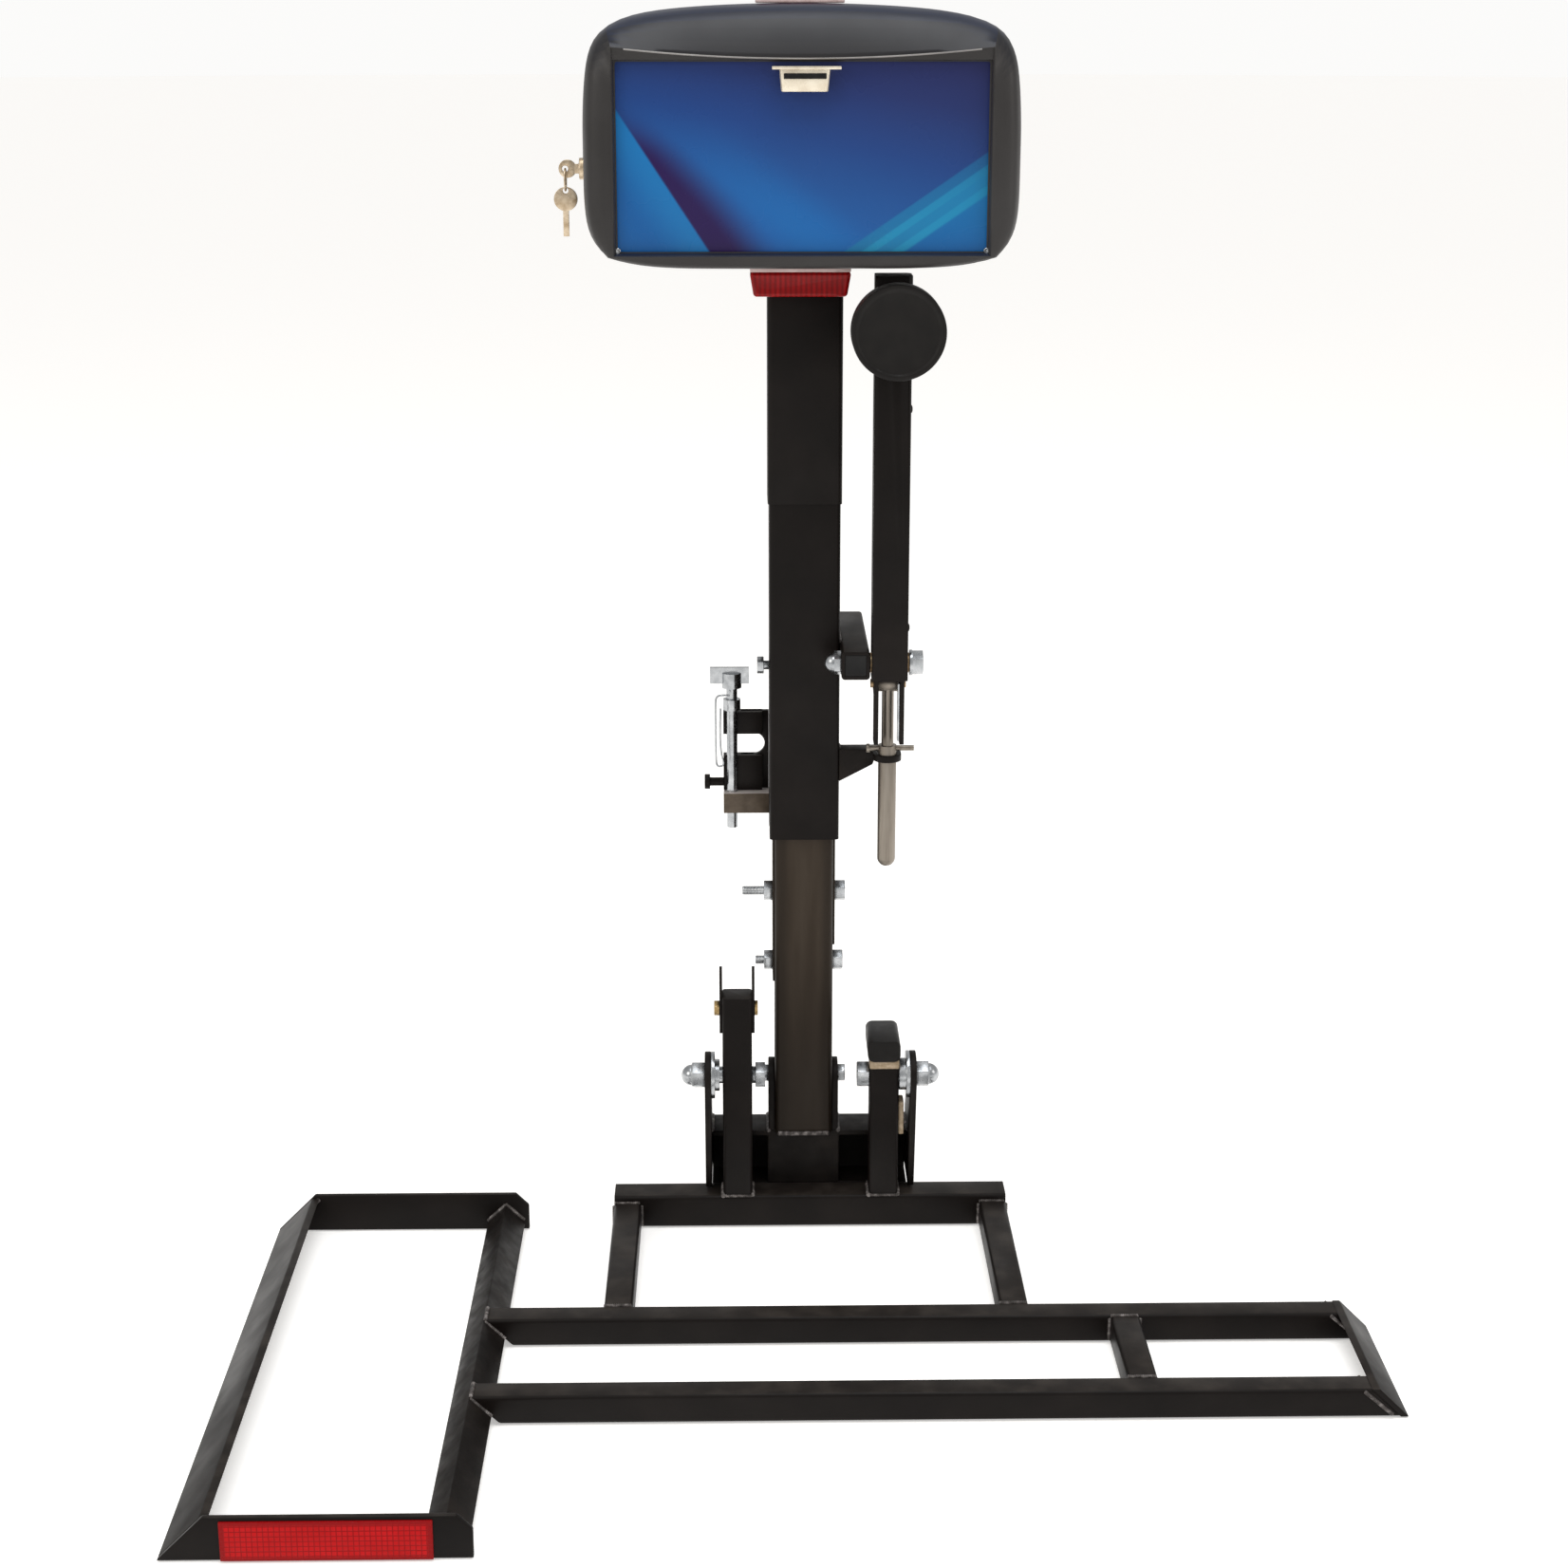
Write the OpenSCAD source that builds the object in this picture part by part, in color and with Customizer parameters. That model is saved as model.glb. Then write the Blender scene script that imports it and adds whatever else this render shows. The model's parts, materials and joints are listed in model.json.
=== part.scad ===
// Exterior vehicle lift for a mobility scooter. Millimetres, +Z up, +Y towards the vehicle.
// Every module draws in ground coordinates (mast axis at X 0, Y 0, ground at Z 0);
// at_pin() then moves the origin to the centre of the hitch pin hole.

/* [Hitch bar] */
// Side of the square hitch bar
bar_side = 50.8; // [45:0.1:60]
// Wall of the hitch bar
bar_wall = 5; // [3:0.5:7]
// Length of the hitch bar behind the mast
bar_length = 290; // [220:1:360]
// Height of the bar's centre above the ground
bar_height = 450; // [440:1:470]
// Distance from the bar's free end to the pin hole
pin_from_end = 60; // [40:1:90]
// Diameter of the hitch pin hole
pin_hole_d = 16.3; // [13:0.1:18]

/* [Mast] */
// Outside width of the outer mast tube
mast_side = 63.5; // [60:0.1:68]
// Wall of the outer mast tube
mast_wall = 2.4; // [2:0.1:3]
// Height of the outer mast's lower edge above the ground
mast_bottom = 378.5; // [370:1:385]
// Height of the outer mast's upper edge above the ground
mast_top = 912; // [909:1:920]
// Lower edge of the upper sleeve
sleeve_bottom = 690; // [650:1:760]
// Wall of the upper sleeve
sleeve_wall = 1.2; // [0.8:0.1:2]
// Width of the slots that the carriage bolts run in
slot_width = 22; // [21:0.5:26]

/* [Carriage] */
// How far the lift travels
lift_travel = 205; // [120:1:208]
// Outside width of the inner mast tube
inner_side = 54; // [50:0.1:54.5]
// Wall of the inner mast tube
inner_wall = 3; // [2:0.1:4]
// Height of the inner mast's upper edge at rest
inner_top = 640; // [620:1:690]
// Thickness of the side wear straps
strap_thick = 1.9; // [1.5:0.1:2]
// Heights of the lower and upper cross bolts at rest
lower_bolt_z = 250; // [240:1:256]
upper_bolt_z = 319; // [305:1:320]
// Diameter of the cross bolts
cross_bolt_d = 8; // [6:1:8]
// Diameter of the platform pivot bolts
pivot_bolt_d = 15.9; // [12:0.1:18]

/* [Platform] */
// Side of the platform's rail and leg tubes
rail_side = 25.4; // [20:0.1:32]
// Wall of the platform tubes
rail_wall = 2.2; // [1.5:0.1:3]
// Side of the rear cross tube
cross_side = 31.75; // [28:0.05:36]
// Side of the uprights
upright_side = 27.5; // [25:0.1:28.5]
// Width of the cross tube between its ends
cross_length = 370.9; // [340:0.1:400]
// Clear gap between the two rails
rail_gap = 105.8; // [80:0.1:150]
// Clear gap between the rear rail and the cross tube
leg_gap = 205.3; // [180:0.1:240]
// Reach of the rails from the mast axis to the end ramp's foot
rail_reach = 489.8; // [420:0.1:560]
// Clear width of the wheel pan between ridge foot and ramp foot
pan_width = 197.7; // [170:0.1:230]
// Length of the wheel pan, front to back
pan_length = 559; // [480:1:640]
// Height of the wheel pan's edge bars
pan_height = 36; // [28:0.5:45]
// Thickness of the wheel pan's plates
pan_plate = 5; // [3:0.5:6]

/* [Hold-down arm] */
// Side of the arm tube
arm_side = 31.75; // [28:0.05:34]
// Wall of the arm tube
arm_wall = 2.4; // [1.5:0.1:3]
// Height of the arm's upper end above its pivot
arm_height = 341; // [300:1:341]
// Height of the pad's centre above the arm pivot
pad_height = 299; // [240:1:299]
// Diameter of the pad
pad_d = 80; // [60:1:90]
// Thickness of the rubber pad
pad_thick = 24; // [15:1:26]
// Diameter of the push rod's lower part
push_d = 16.5; // [12:0.1:16.5]
// Length of the push rod, hinge to nose
push_length = 172.5; // [150:0.5:172.5]

/* [Head] */
// Width of the head covers
head_w = 364.8; // [330:0.1:390]
// Height of the head covers
head_h = 214; // [195:0.5:230]
// Depth of the front cover
front_depth = 134; // [125:1:140]
// Depth of the rear cover
rear_depth = 75; // [65:1:100]
// Wall of the head covers
cover_wall = 3; // [2:0.5:4]
// Width of the sign plate
plate_w = 304.8; // [260:0.1:310]
// Height of the sign plate
plate_h = 152.4; // [120:0.1:156]

/* [Hidden] */
$fn = 48;
eps = 1;
// Clearances: bolts in their holes, turning parts on their shafts, sliding parts
bolt_gap = 0.25;
run_gap = 0.05;
slide_gap = 0.4;

// Mast
mast_half = mast_side / 2;
mast_inner_half = mast_half - mast_wall;
sleeve_half = mast_half + sleeve_wall;
bar_end_y = mast_half + bar_length;
pin_y = bar_end_y - pin_from_end;

// Carriage
inner_half = inner_side / 2;
strap_half = inner_half + strap_thick;
hex_over = 17;
slot_top = upper_bolt_z + lift_travel + hex_over * 0.58 + 2;
left_upright_x = -76.2;
right_upright_x = 61.3;
prong_thick = 2.6;
prong_right = left_upright_x + upright_side + prong_thick;
channel_left = left_upright_x - 10.8;
channel_right = right_upright_x + upright_side + 10.2;
channel_top = 84;
channel_plate = 5;
channel_back = 20;
ear_thick = 6;
ear_r = 22;
pivot_y = -40;
channel_front = pivot_y + max(upright_side / 2, cross_side - upright_side / 2) + 1;
channel_bottom = cross_side - 6;
ear_bottom = cross_side + 2;
pivot_z = 150;
pivot_hex = 22;
screw_r = 10;
screw_bottom = 600;
journal_r = 9;

// Head
head_x = -5;
head_z = 1008.6;
head_power = 6;
head_bow = 0.03;
head_crown = 0.10;
frame_thick = 4;
frame_top = 952;
gearbox_h = 48;
coupling_bottom = mast_top + 20;
lock_y = -60;
lock_z = 981.7;
head_left = head_x - head_w / 2;
plate_z = 994.6;
plate_face = -front_depth + 8;
plate_thick = 1.5;

// Platform, all measured from the cross tube's front face
cross_front = pivot_y - upright_side / 2;
cross_left = -179.5;
cross_right = cross_left + cross_length;
rear_rail_back = cross_front - leg_gap;
rear_rail_front = rear_rail_back - rail_side;
front_rail_back = rear_rail_front - rail_gap;
front_rail_front = front_rail_back - rail_side;
ridge_x = -281.7;
ridge_z = rail_side;
ridge_drop = 18;
ridge_thick = 3;
ramp_foot_x = ridge_x - ridge_drop - pan_width;
pan_back = -50;
pan_front = pan_back - pan_length;
pan_right = -260.3;
crossbar_x = 260;
end_plate = 5;
left_upright_top = 231;
right_upright_top = 160;
lift_pad_top = 189;
prong_top = 258;
prong_bolt_z = 217;

// Hold-down arm
bracket_side = 25.4;
arm_half = arm_side / 2;
arm_x = mast_half + bracket_side + 1.725 + arm_half;
arm_y = -57;
arm_z = 552;
arm_bottom = arm_z - 14;
arm_bolt_r = 6.35;
bush_r = 9;
cheek_thick = 4;
cheek_inset = arm_half - arm_wall;
crank_y = arm_y + 14;
crank_z = arm_z - 22.5;
crank_r = sqrt(pow(crank_y - arm_y, 2) + pow(crank_z - arm_z, 2));
rod_pin_r = 4;
thin_r = 5.4;
thick_top = crank_z - 57.5;
retainer_z = thick_top - 3;
guide_top = 464;
guide_thick = 6;
pad_x = arm_x + 1.5;
stem_r = 5;
pad_back = arm_y - arm_half - 27;

// Left side clamp
clamp_x = -mast_half - 34.25;
clamp_y = 32;
clamp_r = 5;

module at_pin() translate([0, -pin_y, -bar_height]) children();

// Block between two opposite corners
module block(low, high) translate(low) cube(high - low);

// Cylinder along X from x0 to x1
module rod_x(x0, x1, y, z, r) translate([x0, y, z]) rotate([0, 90, 0]) cylinder(r = r, h = x1 - x0);

// Hexagon along X, across flats af
module hex_x(x0, x1, y, z, af)
    translate([x0, y, z]) rotate([0, 90, 0]) cylinder(d = af / cos(30), h = x1 - x0, $fn = 6);

// Square tube with its low corner at the origin and its length along X, Y or Z
module tube(size, wall, axis) {
    hole = [for (i = [0:2]) i == axis ? size[i] + 2 * eps : size[i] - 2 * wall];
    from = [for (i = [0:2]) i == axis ? -eps : wall];
    difference() {
        cube(size);
        translate(from) cube(hole);
    }
}

// Plate drawn in the Y-Z plane and given a thickness along X from x0 to x1
module plate_yz(x0, x1)
    translate([x0, 0, 0]) rotate([90, 0, 90]) linear_extrude(x1 - x0) children();

// Plate drawn in the X-Z plane and given a thickness along Y from y0 to y1
module plate_xz(y0, y1)
    translate([0, y1, 0]) rotate([90, 0, 0]) linear_extrude(y1 - y0) children();

// Acorn nut along X: hexagon against a face at x0, dome pointing away in direction dir
module acorn(x0, y, z, af, hex_len, bore_r, dir) {
    dome_r = af * 0.45;
    translate([x0, y, z]) rotate([0, 90 * dir, 0]) difference() {
        union() {
            cylinder(d = af / cos(30), h = hex_len, $fn = 6);
            translate([0, 0, hex_len]) intersection() {
                sphere(r = dome_r);
                cylinder(r = dome_r + eps, h = dome_r + eps);
            }
        }
        translate([0, 0, -eps]) cylinder(r = bore_r, h = hex_len + eps);
    }
}

// Rounded outline of the head: tight corners all round, and above the middle bowed sides and a crowned top
function squared(v) = sign(v) * pow(abs(v), 2 / head_power);
function head_outline(inset) = [for (a = [0:5:355])
    let (across = squared(cos(a)), up = squared(sin(a)), upper = a < 180 ? 1 : 0)
        [(head_w / 2 - inset) * across * (1 - head_bow * upper * up * up),
         (head_h / 2 - inset) * up * (1 - head_crown * upper * across * across)]];
module head_solid(inset, y0, y1)
    translate([head_x, 0, head_z]) plate_xz(y0, y1) polygon(head_outline(inset));

// ---- Mast ----
module hitch_bar() color("#1c1a19") at_pin() {
    bar_top = bar_height + bar_side / 2;
    gusset = 85;
    difference() {
        translate([-bar_side / 2, mast_half, bar_height - bar_side / 2])
            tube([bar_side, bar_length, bar_side], bar_wall, 1);
        rod_x(-bar_side, bar_side, pin_y, bar_height, pin_hole_d / 2);
    }
    for (side = [-1, 1]) plate_yz(side * 17 - 3, side * 17 + 3)
        polygon([[mast_half, bar_top - 1], [mast_half + gusset, bar_top - 1],
            [mast_half + gusset, bar_top + 8], [mast_half + 8, bar_top + gusset],
            [mast_half, bar_top + gusset]]);
}

module outer_mast() color("#1c1a19") at_pin() difference() {
    translate([-mast_half, -mast_half, mast_bottom])
        tube([mast_side, mast_side, mast_top - mast_bottom], mast_wall, 2);
    block([-mast_side, -slot_width / 2, mast_bottom - eps], [mast_side, slot_width / 2, slot_top]);
}

module mast_sleeve() color("#1c1a19") at_pin()
    translate([-sleeve_half, -sleeve_half, sleeve_bottom])
        tube([2 * sleeve_half, 2 * sleeve_half, mast_top - sleeve_bottom], sleeve_wall, 2);

module guide_liners() color("#d8d4c4") at_pin() for (side = [-1, 1]) {
    near = inner_half + 0.2;
    y = side > 0 ? near : -mast_inner_half;
    translate([-22, y, mast_bottom + 1]) cube([44, mast_inner_half - near, 60]);
}

module head_frame() color("#33302e") at_pin() {
    difference() {
        union() {
            block([-60, -50, frame_top - frame_thick], [60, 50, frame_top]);
            block([-mast_half - 3, -mast_half - 3, mast_top], [mast_half + 3, mast_half + 3, mast_top + 6]);
            for (side = [-1, 1])
                block([side * 50 - 3, -25, mast_top], [side * 50 + 3, 25, frame_top - frame_thick]);
            block([-53, -25, mast_top], [53, 25, mast_top + 6]);
        }
        translate([0, 0, mast_top - eps]) cylinder(r = screw_r + 1, h = frame_top - mast_top + 2 * eps);
        translate([0, 0, frame_top - frame_thick - eps]) cylinder(r = 16, h = frame_thick + 2 * eps);
    }
}

module thrust_bearing() color("#b9bcc0") at_pin() translate([0, 0, mast_top + 6]) difference() {
    cylinder(r = 22, h = 12);
    translate([0, 0, -eps]) cylinder(r = journal_r + run_gap, h = 12 + 2 * eps);
    translate([0, 0, 5.2]) difference() {
        cylinder(r = 22 + eps, h = 1.6);
        cylinder(r = 19, h = 1.6);
    }
}

module gearbox() color("#8d9093") at_pin() difference() {
    union() {
        block([-38, -34, frame_top], [38, 34, frame_top + gearbox_h - 8]);
        translate([0, 0, frame_top + gearbox_h - 8]) cylinder(r = 33, h = 8);
    }
    translate([0, 0, frame_top - eps]) cylinder(r = 12 + run_gap, h = 21);
}

module motor() color("#2c2d30") at_pin() translate([0, 0, frame_top + gearbox_h]) {
    cylinder(r = 31, h = 76);
    translate([0, 0, 76]) cylinder(r = 24, h = 8);
    translate([0, 0, 84]) cylinder(r = 8, h = 6);
}

module control_box() color("#26282b") at_pin()
    block([62, 20, 935], [135, rear_depth - cover_wall, 1035]);

module cover_holes() {
    block([-sleeve_half - 2, -sleeve_half - 2, head_z - head_h],
        [sleeve_half + 2, sleeve_half + 2, head_z - 60]);
}

module front_cover() color("#3c3e44") at_pin() difference() {
    union() {
        head_solid(10, -front_depth, -front_depth + 12);
        head_solid(4, -front_depth + 4, 0);
        head_solid(0, -front_depth + 14, 0);
    }
    head_solid(cover_wall + 4, plate_face + plate_thick + cover_wall, eps);
    block([head_x - plate_w / 2 - 3, -front_depth - eps, plate_z - plate_h / 2 - 3],
        [head_x + plate_w / 2 + 3, plate_face + plate_thick, plate_z + plate_h / 2 + 3]);
    rod_x(head_left - eps, head_left + 16, lock_y, lock_z, 9 + bolt_gap);
    cover_holes();
}

module rear_cover() color("#2e3035") at_pin() difference() {
    union() {
        head_solid(0, 0, rear_depth - 12);
        head_solid(8, rear_depth - 13, rear_depth);
    }
    head_solid(cover_wall, -eps, rear_depth - 14);
    head_solid(cover_wall + 8, -eps, rear_depth - cover_wall);
    translate([-60, rear_depth - cover_wall - eps, 940]) rotate([-90, 0, 0])
        cylinder(r = 9 + bolt_gap, h = 20);
    cover_holes();
}

module power_inlet() color("#1a1a1a") at_pin() translate([-60, rear_depth - cover_wall - 8, 940])
    rotate([-90, 0, 0]) difference() {
        union() {
            cylinder(r = 9, h = cover_wall + 8);
            cylinder(r = 12, h = 8);
        }
        translate([0, 0, 4]) cylinder(r = 6, h = cover_wall + 8);
    }

module sign_plate() color("#1f5fae") at_pin()
    block([head_x - plate_w / 2, plate_face, plate_z - plate_h / 2],
        [head_x + plate_w / 2, plate_face + plate_thick, plate_z + plate_h / 2]);

module plate_lamp() color("#e8dcc0") at_pin() {
    top = plate_z + plate_h / 2 - 4;
    block([head_x - 25, plate_face - 18, top - 3], [head_x + 31, plate_face, top]);
    plate_xz(plate_face - 16, plate_face)
        polygon([[head_x - 19, top - 3], [head_x + 22, top - 3],
            [head_x + 20, top - 20], [head_x - 17, top - 20]]);
}

// Lens of a brake light: a bar that narrows to its free edge, with its root at z0
module light_lens(y0, y1, z0, half_root, half_tip, height)
    plate_xz(y0, y1) polygon([[head_x - half_root, z0], [head_x + half_root, z0],
        [head_x + half_tip, z0 + height], [head_x - half_tip, z0 + height]]);

module upper_light() color("#c8141c") at_pin()
    light_lens(-30, 6, head_z + head_h / 2, 38, 33, 20);

module lower_light() color("#c8141c") at_pin()
    light_lens(-sleeve_half - 31, -sleeve_half - 3, head_z - head_h / 2, 43.5, 40, -27);

module lock_barrel() color("#c9b98f") at_pin() difference() {
    rod_x(head_left - 4, head_left + 14, lock_y, lock_z, 9);
    rod_x(head_left - 5, head_left + 12, lock_y, lock_z, 5 + run_gap);
}

module arm_bracket() color("#1c1a19") at_pin() difference() {
    translate([mast_half, -70, arm_z - bracket_side / 2])
        tube([bracket_side, 163, bracket_side], 3, 1);
    rod_x(mast_half - eps, mast_half + bracket_side + eps, arm_y, arm_z, arm_bolt_r + bolt_gap);
}

module arm_pivot_bolt() color("#c4c7cb") at_pin() {
    outer = arm_x + arm_half + 2;
    rod_x(mast_half - 6, outer + 4, arm_y, arm_z, arm_bolt_r);
    hex_x(outer + 2.5, outer + 12, arm_y, arm_z, 19);
    difference() {
        rod_x(outer, outer + 2.5, arm_y, arm_z, 11.5);
        rod_x(outer - eps, outer + 4, arm_y, arm_z, arm_bolt_r - 0.1);
    }
    difference() {
        acorn(mast_half - 0.1, arm_y, arm_z, 19, 6, arm_bolt_r - 0.1, -1);
        rod_x(mast_half - 6, mast_half + 6, arm_y, arm_z, arm_bolt_r - 0.1);
    }
}

module guide_bracket() color("#26211f") at_pin() {
    web_y = -mast_half + 1;
    slot_half = push_d / 2 + slide_gap;
    reach = crank_r - (crank_y - arm_y);
    difference() {
        union() {
            translate([arm_x, crank_y, guide_top - guide_thick]) cylinder(r = slot_half + 4, h = guide_thick);
            translate([arm_x, crank_y + reach, guide_top - guide_thick])
                cylinder(r = slot_half + 4, h = guide_thick);
            block([arm_x - slot_half - 4, crank_y, guide_top - guide_thick],
                [arm_x + slot_half + 4, crank_y + reach, guide_top]);
            block([mast_half, web_y, guide_top - guide_thick], [arm_x - 6, web_y + 18, guide_top]);
        }
        translate([arm_x, crank_y, guide_top - guide_thick - eps])
            cylinder(r = slot_half, h = guide_thick + 2 * eps);
        translate([arm_x, crank_y + reach, guide_top - guide_thick - eps])
            cylinder(r = slot_half, h = guide_thick + 2 * eps);
        block([arm_x - slot_half, crank_y, guide_top - guide_thick - eps],
            [arm_x + slot_half, crank_y + reach, guide_top + eps]);
    }
    plate_xz(web_y, web_y + 5) polygon([[mast_half, guide_top - guide_thick], [mast_half, 434],
        [arm_x - slot_half - 4, guide_top - 14], [arm_x - slot_half - 1, guide_top - guide_thick]]);
}

module side_bolts() color("#c4c7cb") at_pin() {
    rod_x(-mast_half - 7, -mast_half, -20, 541, 4);
    hex_x(-mast_half - 11, -mast_half - 5, -20, 541, 14);
    rod_x(-mast_half - 60, clamp_x - 8, clamp_y, 416, 4);
    rod_x(-mast_half - 60, -mast_half - 55, clamp_y, 416, 7);
}

// ---- Left side clamp ----
module clamp_bracket() color("#1c1a19") at_pin() difference() {
    union() {
        plate_xz(clamp_y - 12, clamp_y - 0.25) difference() {
            translate([clamp_x + 8, 408]) square([-mast_half - clamp_x - 8, 75]);
            translate([clamp_x + 20, 451.5]) circle(r = 10.5);
            translate([clamp_x + 6, 441]) square([14, 21]);
        }
        for (lug = [[408, 441], [462, 483]])
            block([clamp_x - 8, clamp_y - 12, lug[0]], [-mast_half - 6, clamp_y + 12, lug[1]]);
    }
    translate([clamp_x, clamp_y, 400]) cylinder(r = clamp_r + run_gap, h = 100);
}

module clamp_bar() color("#a08a6c") at_pin() difference() {
    block([clamp_x - 8, clamp_y - 10, 388], [-mast_half + 4, clamp_y + 10, 407]);
    block([-mast_half, -mast_side, 380], [0, mast_half, 410]);
    translate([clamp_x, clamp_y, 380]) cylinder(r = clamp_r + run_gap, h = 40);
}

module clamp_screw() color("#c4c7cb") at_pin() translate([clamp_x, clamp_y, 0]) {
    translate([0, 0, 372]) cylinder(r = clamp_r, h = 140);
    translate([0, 0, 486]) cylinder(r = 8, h = 10);
    translate([0, 0, 507]) cylinder(r = 9, h = 14);
    block([-20, -2.5, 511], [16, 2.5, 526]);
}

// ---- Lead screw ----
module lead_screw() color("#a9adb1") at_pin() {
    difference() {
        translate([0, 0, screw_bottom]) cylinder(r = screw_r, h = mast_top - 2 - screw_bottom);
        for (z = [screw_bottom + 8:10:inner_top - 46]) translate([0, 0, z]) difference() {
            cylinder(r = screw_r + 1, h = 4);
            translate([0, 0, -eps]) cylinder(r = screw_r - 2, h = 4 + 2 * eps);
        }
    }
    translate([0, 0, mast_top - 2]) cylinder(r = journal_r, h = 40);
}

module shaft_coupling() color("#7d8084") at_pin() difference() {
    union() {
        translate([0, 0, coupling_bottom]) cylinder(r = 14, h = frame_top - 1 - coupling_bottom);
        translate([0, 0, frame_top - 1]) cylinder(r = 12, h = 20);
    }
    translate([0, 0, coupling_bottom - eps])
        cylinder(r = journal_r + 0.1, h = mast_top + 39 - coupling_bottom + eps);
}

// ---- Carriage ----
module inner_mast() color("#54483a") at_pin() difference() {
    translate([-inner_half, -inner_half, channel_top])
        tube([inner_side, inner_side, inner_top - channel_top], inner_wall, 2);
    for (z = [lower_bolt_z, upper_bolt_z]) rod_x(-mast_side, mast_side, 0, z, cross_bolt_d / 2 + bolt_gap);
    rod_x(-mast_side, mast_side, 0, 135, 5 + bolt_gap);
}

module wear_straps() color("#4a3d2f") at_pin() difference() {
    union() {
        block([-strap_half, -20, lower_bolt_z - 14], [-inner_half, 20, inner_top]);
        block([inner_half, -20, lower_bolt_z + 22], [strap_half, 20, inner_top]);
    }
    for (z = [lower_bolt_z, upper_bolt_z]) rod_x(-mast_side, mast_side, 0, z, cross_bolt_d / 2 + bolt_gap);
}

module nut_plug() color("#3a3835") at_pin() difference() {
    half = inner_half - inner_wall - 0.1;
    block([-half, -half, inner_top - 32], [half, half, inner_top]);
    translate([0, 0, inner_top - 40]) cylinder(r = 18 + 0.1, h = 60);
}

module drive_nut() color("#b08d46") at_pin() translate([0, 0, inner_top - 34]) difference() {
    union() {
        cylinder(r = 18, h = 34);
        translate([0, 0, 34]) cylinder(r = 22, h = 6);
    }
    translate([0, 0, -eps]) cylinder(r = screw_r + run_gap, h = 42);
}

module cross_bolts() color("#c4c7cb") at_pin() {
    // each: height, left end, radius, face on the left, face on the right
    for (bolt = [[lower_bolt_z, prong_right + 1.1, strap_half, inner_half],
            [upper_bolt_z, -57, strap_half, strap_half]]) {
        rod_x(bolt[1], bolt[3] + 1, 0, bolt[0], cross_bolt_d / 2);
        difference() {
            hex_x(-bolt[2] - 8, -bolt[2], 0, bolt[0], hex_over);
            rod_x(-bolt[2] - 9, -bolt[2] + 1, 0, bolt[0], cross_bolt_d / 2 - 0.1);
        }
        hex_x(bolt[3], bolt[3] + 10, 0, bolt[0], hex_over);
    }
    rod_x(-inner_half - 12, inner_half + 7, 0, 135, 5);
    hex_x(inner_half + 6, inner_half + 13, 0, 135, 15);
    difference() {
        hex_x(-inner_half - 12, -inner_half - 6, 0, 135, 15);
        rod_x(-inner_half - 13, -inner_half - 5, 0, 135, 4.9);
    }
}

module foot_plates() color("#1a1715") at_pin() for (side = [-1, 1]) difference() {
    x0 = side > 0 ? inner_half : -inner_half - 6;
    plate_yz(x0, x0 + 6) union() {
        translate([0, 130]) circle(r = 20);
        translate([-20, channel_top]) square([40, 46]);
    }
    rod_x(-mast_side, mast_side, 0, 135, 5 + bolt_gap);
}

module base_channel() color("#16120f") at_pin() {
    block([channel_left, channel_front, channel_top - channel_plate],
        [channel_right, channel_back, channel_top]);
    block([channel_left, channel_front, channel_bottom],
        [channel_right, channel_back, channel_bottom + channel_plate]);
    block([channel_left, channel_back - channel_plate, channel_bottom],
        [channel_right, channel_back, channel_top]);
    block([-34, channel_front, channel_bottom + channel_plate],
        [34, channel_front + 5, channel_top - channel_plate]);
}

module base_ears() color("#1a1715") at_pin()
    for (x0 = [channel_left - ear_thick, channel_right]) difference() {
        plate_yz(x0, x0 + ear_thick) union() {
            translate([pivot_y, pivot_z]) circle(r = ear_r);
            polygon([[pivot_y - ear_r, pivot_z], [pivot_y + ear_r, pivot_z],
                [channel_back, channel_top + 10], [channel_back, ear_bottom],
                [channel_front - 16, ear_bottom]]);
        }
        rod_x(x0 - eps, x0 + ear_thick + eps, pivot_y, pivot_z, pivot_bolt_d / 2 + bolt_gap);
    }

module pivot_bolts() color("#c4c7cb") at_pin() {
    r = pivot_bolt_d / 2;
    left_in = left_upright_x + upright_side + 3.2;
    rod_x(channel_left - ear_thick - 8, left_in + 1, pivot_y, pivot_z, r);
    hex_x(left_in, left_in + 9, pivot_y, pivot_z, pivot_hex);
    difference() {
        acorn(channel_left - ear_thick, pivot_y, pivot_z, pivot_hex, 12, r - 0.1, -1);
        rod_x(channel_left - 20, channel_left, pivot_y, pivot_z, r - 0.1);
    }
    right_in = right_upright_x - 0.6;
    rod_x(right_in - 1, channel_right + ear_thick + 8, pivot_y, pivot_z, r);
    hex_x(right_in - 11, right_in, pivot_y, pivot_z, pivot_hex);
    difference() {
        acorn(channel_right + ear_thick, pivot_y, pivot_z, pivot_hex, 12, r - 0.1, 1);
        rod_x(channel_right, channel_right + 20, pivot_y, pivot_z, r - 0.1);
    }
}

module pivot_washers() color("#c4c7cb") at_pin() difference() {
    union() {
        rod_x(channel_left, channel_left + 3.5, pivot_y, pivot_z, 22);
        rod_x(channel_left + 3.5, left_upright_x - prong_thick - 0.3, pivot_y, pivot_z, 15);
        rod_x(right_upright_x + upright_side + 0.4, channel_right - 3.5, pivot_y, pivot_z, 15);
        rod_x(channel_right - 3.5, channel_right, pivot_y, pivot_z, 22);
    }
    rod_x(channel_left - eps, channel_right + eps, pivot_y, pivot_z, pivot_bolt_d / 2 + bolt_gap);
}

// ---- Platform ----
module upright(x0, top) difference() {
    translate([x0, cross_front, cross_side])
        tube([upright_side, upright_side, top - cross_side], rail_wall, 2);
    rod_x(x0 - eps, x0 + upright_side + eps, pivot_y, pivot_z, pivot_bolt_d / 2 + run_gap);
    rod_x(x0 - eps, x0 + upright_side + eps, pivot_y, prong_bolt_z, 4 + bolt_gap);
}

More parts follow.
